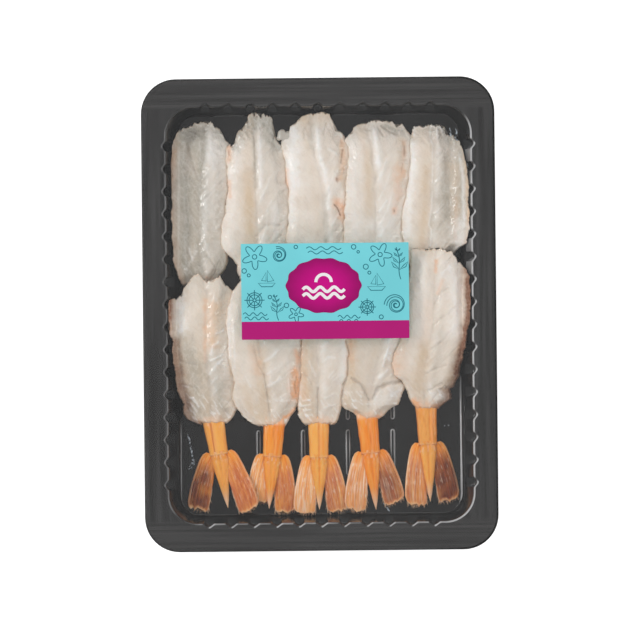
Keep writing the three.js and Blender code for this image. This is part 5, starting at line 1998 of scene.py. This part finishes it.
FRONT_3 = ShrimpForm(
    head=20.6, end=-44, stem=-0.9, lean=0, left_tone=(0.18, 0.2), right_tone=(0.04, 0.08), lips=(0.8, 0.8),
    left=path(-7.7, 0, -7.7, -12, -7.9, -20, -8.6, -30, -9.5, -37, -9.3, -40.5, -6.9, -44.2, -5.8, -45.4),
    right=path(12, 0, 11.2, -8, 10.9, -10.7, 11.7, -14.7, 11.3, -20.4, 10.9, -25.2, 9.3, -28.4, 8.5, -33.3,
        8.3, -38, 8.1, -40.7, 6.8, -43.8, 4.6, -45.2),
    furrow=path(-0.4, 21, -0.4, 5.4, -1, -17.7, 0, -23.6, -1, -29.6, -1.1, -46),
    strokes=(
        ridge(0.6, 0.45, 0.8, -12.9, 2.8, -11.1), ridge(0.6, 0.45, 1.2, -19, 3.6, -17.2, 6, -17.6),
        ridge(0.4, 0.5, -7.2, -34.9, -4.2, -34.5), ridge(0.4, 0.5, -7, -36.9, -4, -36.5),
        ridge(0.4, 0.5, -6.9, -38.9, -3.8, -38.5), ridge(0.4, 0.35, -6, -41, -3.4, -40.6),
        ridge(0.5, 0.35, 1.6, -34, 5, -32.4), ridge(0.5, 0.35, 1.6, -37.6, 5.6, -36.8),
        ridge(0.5, 0.35, -4.4, -19, -2, -25), ridge(0.4, 0.3, 3.4, -25.6, 5.4, -23),
        whitened(1.8, 0.4, 9.8, -12, 9.4, -28), tanned(2.2, 0.9, -6.9, -12, -6.7, -36),
        blushed(1.8, 0.22, -7.2, -14, -6.9, -34), groove(0.4, 0.35, -1, -30, -1.2, -42),
        groove(0.5, 0.3, -6.4, -24, -3.4, -28),
    ),
    tail=TailForm(
        ((-7.1, -80.6), (7, -80.2)), (1.6, 0), (0, 0.04, 0), (0.15, 0.05, 0), 0.02, 0.35, 0.4,
        (0.1, 0, 0.75), (0.75, 0.1, 0.25), (14.3, 20.7),
    ),
)
FRONT_4 = ShrimpForm(
    head=21.4, end=-42.4, stem=18.8, lean=5, left_tone=(0.14, 0.26), right_tone=(0.1, 0.22),
    lips=(0.55, 0.52),
    left=path(10.6, 0, 9.8, -10, 10.4, -15, 10, -25, 8.3, -29, 7.4, -34, 8, -36.4, 9.7, -38.4, 13.3, -40.2,
        15.3, -43),
    right=path(35, 0, 34, -10, 31.6, -16, 30.6, -21, 31.4, -26, 33.9, -28, 34.1, -30.9, 32.5, -34.9, 31.5,
        -36.9, 29.2, -37.9, 27.4, -39.5, 23.2, -43),
    furrow=path(25.8, 22, 25.4, -2.6, 24.6, -15.1, 22.4, -22.6, 19.9, -34.5, 19.2, -44),
    strokes=(
        tanned(2.4, 0.8, 12.7, -9, 12.4, -27), blushed(1.8, 0.3, 12.5, -10, 12.6, -18),
        whitened(2, 0.35, 28.4, -11, 28.2, -17), tanned(2.6, 0.4, 25.6, -30, 24.6, -38),
        groove(0.6, 0.8, 12.6, -26, 16.5, -28.8, 19.4, -34.4),
        groove(0.7, 0.9, 33.4, -27.4, 28.6, -28, 23.6, -29.6, 20.8, -34.4),
        ridge(0.5, 0.6, 27.6, -13.7, 26.4, -17, 25.2, -21.2),
        ridge(0.6, 0.5, 27.2, -22.6, 25, -24.6, 23.8, -25.6), ridge(0.4, 0.4, 28.4, -16, 27.6, -19),
        whitened(3.2, 0.45, 24.4, -34.6, 31.1, -31.6), ridge(0.4, 0.35, 14.6, -31.4, 16.4, -33.6),
        ridge(0.4, 0.35, 14, -34.8, 17, -36.4), ridge(0.4, 0.3, 11.6, -32, 13.4, -35.4),
        groove(0.5, 0.4, 27.4, -38.6, 29.8, -37.4), blushed(0.8, 0.95, 13.9, -39.6, 16.7, -42),
        blushed(1.3, 0.5, 20.6, -42.6, 24.4, -41),
    ),
    tail=TailForm(
        ((13.5, -79.8), (29.9, -76.9)), (1.6, 0), (0.85, 0.04, 0), (0.65, 0.03, 0), 0.1, 0.5, 0.1,
        (0.4, 0.05, 0.65), (0.75, 0.6, 0.2), (14.4, 22.6),
    ),
)
FRONT_5 = ShrimpForm(
    head=26.2, end=-38.2, stem=42.7, lean=2, head_glass=0.1, left_tone=(0, 0.2), right_tone=(0.04, 0.16),
    lips=(0.8, 0.72), painted_flank_shade=0.9,
    left=path(36.9, 24.5, 36.7, 21.6, 36, 15, 34, 8, 33, 0, 32.3, -10.7, 29.6, -15.5, 28.6, -20.4, 29.9,
        -25.2, 32.5, -27, 33.9, -29.4, 35.1, -31.7, 36.3, -34.9, 38.5, -38.2),
    right=path(59.5, 17, 60.4, 14.5, 60.6, 7.1, 60.4, 1.4, 59.8, -5.9, 58.9, -12.3, 57.7, -18.8, 56, -26,
        54.2, -29.7, 52.6, -30.6, 53.3, -32.5, 53, -34.6, 49.6, -37.2, 47.2, -39),
    head_line=path(34.6, 20, 36.7, 24.4, 37.9, 26, 44.4, 26, 46.8, 25.9, 50, 25.6, 53.6, 24.4, 55.8, 21, 58,
        19, 60, 16.6),
    furrow=path(47.6, 27, 47.6, 24.4, 46.6, 17.1, 46.4, 9.1, 45.6, -3.8, 44.3, -12.3, 42, -22.8, 41.8,
        -34.1, 42.4, -40),
    strokes=(
        # The first stroke is painted shade on the right side, where it falls away against the wall.
        browned(1.3, 0.8, 59.7, 13, 59.5, 1, 58.8, -7, 57.9, -13, 56.6, -19, 55.2, -25.6),
        blushed(1.8, 0.15, 58.8, 16.4, 58.6, 8, 57.6, -6, 56, -16), blushed(0.7, 0.6, 47.2, 21, 46.8, 16.5),
        blushed(0.8, 0.35, 49.5, 13, 47.6, 8), tanned(1.8, 0.2, 57.6, -2, 56.6, -12, 54.4, -26),
        whitened(3.2, 0.5, 54, 17, 55.4, 0, 54, -8), blushed(1.2, 0.3, 56.8, -12, 54.8, -24),
        blushed(1.6, 0.4, 30.4, -16, 29.9, -20.6, 30.9, -24.4), blushed(2, 0.2, 33, -10, 33, -22),
        groove(0.45, 0.4, 42.8, -24.4, 46.4, -22.4, 50.7, -21.2),
        groove(0.45, 0.35, 44.6, -14.7, 48.7, -11.7), groove(0.4, 0.3, 46.4, 4, 49, 8.4, 52, 10),
        groove(0.4, 0.25, 46, -5, 50, -1), groove(0.5, 0.45, 43.6, -31.3, 49.2, -28.4),
        groove(0.6, 0.6, 53, -30.4, 50.8, -29.8), tanned(3, 0.5, 42, -14, 41.8, -20, 39.6, -30),
        whitened(3.4, 0.4, 41, 20, 41, 2, 40.6, -8), blushed(2, 0.12, 43, 4, 42, -10),
        glassy(2.6, 0.3, 48.6, -9, 46.6, -20), whitened(2.2, 0.45, 46, -33.8, 50, -34),
        ridge(0.5, 0.35, 49.4, 16, 52.6, 19), blushed(1.2, 1, 37.4, -35.4, 39.4, -38),
        blushed(1, 0.5, 46.2, -38, 47.6, -37),
    ),
    tail=TailForm(
        ((38.2, -78.2), (52, -76.5)), (0, 0), (0.1, 0.3, 0), (0.2, 0.1, 0), 0.3, 0.2, 0.35,
        (0.6, 0.12, 0.35), (0.65, 1.15, 0.04), (15.3, 22.8),
    ),
)
FRONT_ROW = ShrimpRow(Row.FRONT, (FRONT_1, FRONT_2, FRONT_3, FRONT_4, FRONT_5))


@dataclass(frozen=True)
class Scrap:
    """A small loose piece, as a flattened bead along a bent line of x, y and half width."""

    name: str
    line: tuple[tuple[float, float, float], ...]
    low: float
    height: float
    slot: str = "flesh"
    tone: Colour = (0.0, 0.0, 0.0)
    mark: Colour = (0.0, 0.0, 0.0)

    def build(self, material: Material) -> None:
        """Model the piece and hand it over."""
        share = np.linspace(0, 1, 30)
        x, y, wide = (np.interp(share, np.linspace(0, 1, len(self.line)), part) for part in zip(*self.line))
        across = np.gradient(x + 1j * y)
        across = 1j * across / np.abs(across)
        turn = np.linspace(0, 2 * math.pi, 21)[:-1]
        rounded = np.sqrt(np.clip(1 - (2 * share - 1) ** 4, 0.001, 1))[:, None]
        noise = Noise(int(100 + abs(x[0]) * 7 + abs(y[0])))
        ragged = 1 + 0.35 * noise.at(3 * share[:, None] + 9 * (turn > math.pi), share[:, None] * 14, 1)
        side = wide[:, None] * rounded * ragged * np.cos(turn)
        swell = 1 + 0.2 * noise.at(side, share[:, None], 0.3)
        z = self.low + self.height * (0.5 + 0.5 * rounded * np.sin(turn) * swell)
        points = [x[:, None] + side * across.real[:, None], y[:, None] + side * across.imag[:, None], z]
        body = Modeller.tube(self.name, np.stack(points, axis=-1))
        Modeller.weld(body)
        count = len(body.data.vertices)
        for attribute, value in (("tone", self.tone), ("mark", self.mark), ("grain", (0, 0, 0))):
            Modeller.mark(body, attribute, np.tile(value, (count, 1)))
        Modeller.dress(body, material, 60)
        Modeller.place(body, self.slot)


def scraps() -> tuple[Scrap, ...]:
    """The loose bits of flesh, shell and juice seen round the shrimp."""
    streak = ((-54.5, -46.2, 0.2), (-53.4, -50, 0.35), (-52.7, -54, 0.3), (-51.8, -59.1, 0.4),
              (-52.4, -60.6, 0.9), (-53.7, -62.3, 0.2))
    curl = ((24.8, -76.6, 0.15), (26.2, -78.4, 0.3), (27.2, -80, 0.35), (27, -81.2, 0.15))
    crumb = ((-16.6, 70.8, 0.9), (-14.6, 72.4, 2.2), (-12.4, 72.2, 1.9), (-10.9, 70.6, 0.8))
    thread = ((53.2, 75.4, 0.2), (53.8, 72, 0.4), (53.6, 69.6, 0.25))
    second_thread = ((55.4, 75.2, 0.15), (56.2, 73, 0.3), (55.6, 70.4, 0.4), (57.2, 68.8, 0.15))
    brown_edge = ((-59.6, 6.6, 0.6), (-60, 2, 1), (-60.1, -4, 0.9), (-59.9, -9, 0.4))
    # A thin strip of juice along the right wall, whose colour gives painted glints of the wet wall.
    wet_edge_painted_glints = ((59.2, 67, 0.2), (60, 62, 0.5), (60.5, 55, 0.4), (60.6, 48, 0.4), (60.6, 44, 0.2))
    return (
        Scrap("juice_streak", streak, 1.8, 0.25, "film"),
        Scrap("juice_curl", curl, 1.8, 0.3, "film"),
        Scrap("juice_edge_painted_glints", wet_edge_painted_glints, 9, 0.5, "film"),
        Scrap("juice_thread_1", thread, 6, 0.4, "film"),
        Scrap("juice_thread_2", second_thread, 6.5, 0.4, "film"),
        Scrap("juice_drop_1", ((50, -45.6, 0.25), (50.6, -45.9, 0.3)), 1.8, 0.3, "film"),
        Scrap("juice_drop_2", ((51.4, -45.2, 0.2), (51.9, -45.7, 0.2)), 1.8, 0.25, "film"),
        Scrap("juice_drop_3", ((-23.6, 12.2, 0.3), (-23, 11.8, 0.3)), 1.8, 0.3, "film"),
        Scrap("flesh_crumb", crumb, 2, 2.4, "flesh", (0.75, 0, 0), (0.1, 0, 0)),
        Scrap("flesh_edge", brown_edge, 11, 2.4, "flesh", (0.6, 0.3, 0.7), (0, 0, 0.6)),
        Scrap("shell_crumb", ((58.2, 41.6, 0.9), (59.4, 40.8, 1.4), (60.4, 40, 0.8)), 10, 1.6, "shell",
              (0.4, 0.8, 0.85), (0.1, 0.1, 0.8)),
    )


# The studio


@dataclass
class Studio:
    """A white table under soft light, and a camera that looks straight down."""

    camera_height: float = 1.5
    view_width: float = 0.2569
    view_centre: Point = (0.1, -2.3)
    flange: float = 16.0
    roll: float = -0.6
    sensor: float = 36.0
    table: Colour = (0.93, 0.93, 0.93)
    table_glow: float = 0.62
    room: float = 0.5

    def build(self) -> None:
        """Set the table, the lights and the camera."""
        Modeller.only()
        bpy.ops.mesh.primitive_plane_add(size=6, location=(0, 0, -0.0002))
        table = bpy.context.object
        table.name = "table"
        constants = {"Roughness": 0.9, "Emission Color": (1, 1, 1, 1), "Emission Strength": self.table_glow}
        shader = Shader("white_table", constants)
        darker = tuple(channel * 0.985 for channel in self.table)
        shader.link("Base Color", shader.blend(shader.noise(shader.where(), 3), darker, self.table))
        table.data.materials.append(shader.material)
        self.light("key", (-0.75, 0.26, 0.62), (0.95, 0.13), 4.6)
        self.light("right_fill", (0.8, -0.05, 0.6), (0.9, 0.13), 2)
        self.light("back_fill", (0.1, 0.85, 0.6), (0.8, 0.2), 1.4)
        self.light("front_fill", (0, -0.85, 0.6), (0.8, 0.2), 1.2)
        world = bpy.data.worlds.new("soft_room")
        world.use_nodes = True
        world.node_tree.nodes["Background"].inputs["Color"].default_value = (1, 1, 1, 1)
        world.node_tree.nodes["Background"].inputs["Strength"].default_value = self.room
        bpy.context.scene.world = world
        bpy.context.scene.view_settings.view_transform = "Standard"
        self.camera()

    @staticmethod
    def light(name: str, place: tuple[float, float, float], size: tuple[float, float], power: float) -> None:
        """Add a soft box that faces the tray."""
        bpy.ops.object.light_add(type="AREA", location=place)
        lamp = bpy.context.object
        lamp.name = lamp.data.name = name
        lamp.data.shape = "RECTANGLE"
        lamp.data.size, lamp.data.size_y = size
        lamp.data.energy = power
        lamp.rotation_euler = (-Vector(place)).to_track_quat("-Z", "Y").to_euler()

    def camera(self) -> None:
        """Add the camera and look through it."""
        place = (self.view_centre[0] * MM, self.view_centre[1] * MM, self.flange * MM + self.camera_height)
        bpy.ops.object.camera_add(location=place, rotation=(0, 0, math.radians(self.roll)))
        camera = bpy.context.object
        camera.data.sensor_width = self.sensor
        camera.data.lens = self.sensor * self.camera_height / self.view_width
        camera.data.clip_start = 0.01
        bpy.context.scene.camera = camera


def corners(bounds: tuple) -> list[list[float]]:
    """Turn a box's two corners into plain lists."""
    return [[float(number) for number in corner] for corner in bounds]


def main() -> None:
    """Build the tray and all that lies in it."""
    logging.basicConfig(level=logging.INFO, format="%(message)s")
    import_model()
    Studio().build()
    FormedTray().build()
    LidFilm().build()
    Label().build()
    flesh, shell = RawFlesh().material(), TailShell().material()
    for row in (BACK_ROW, FRONT_ROW):
        row.build(flesh, shell)
    finishes = {"flesh": flesh, "shell": shell, "film": ClearJuice().material()}
    for scrap in scraps():
        scrap.build(finishes[scrap.slot])


if __name__ == "__main__":
    main()
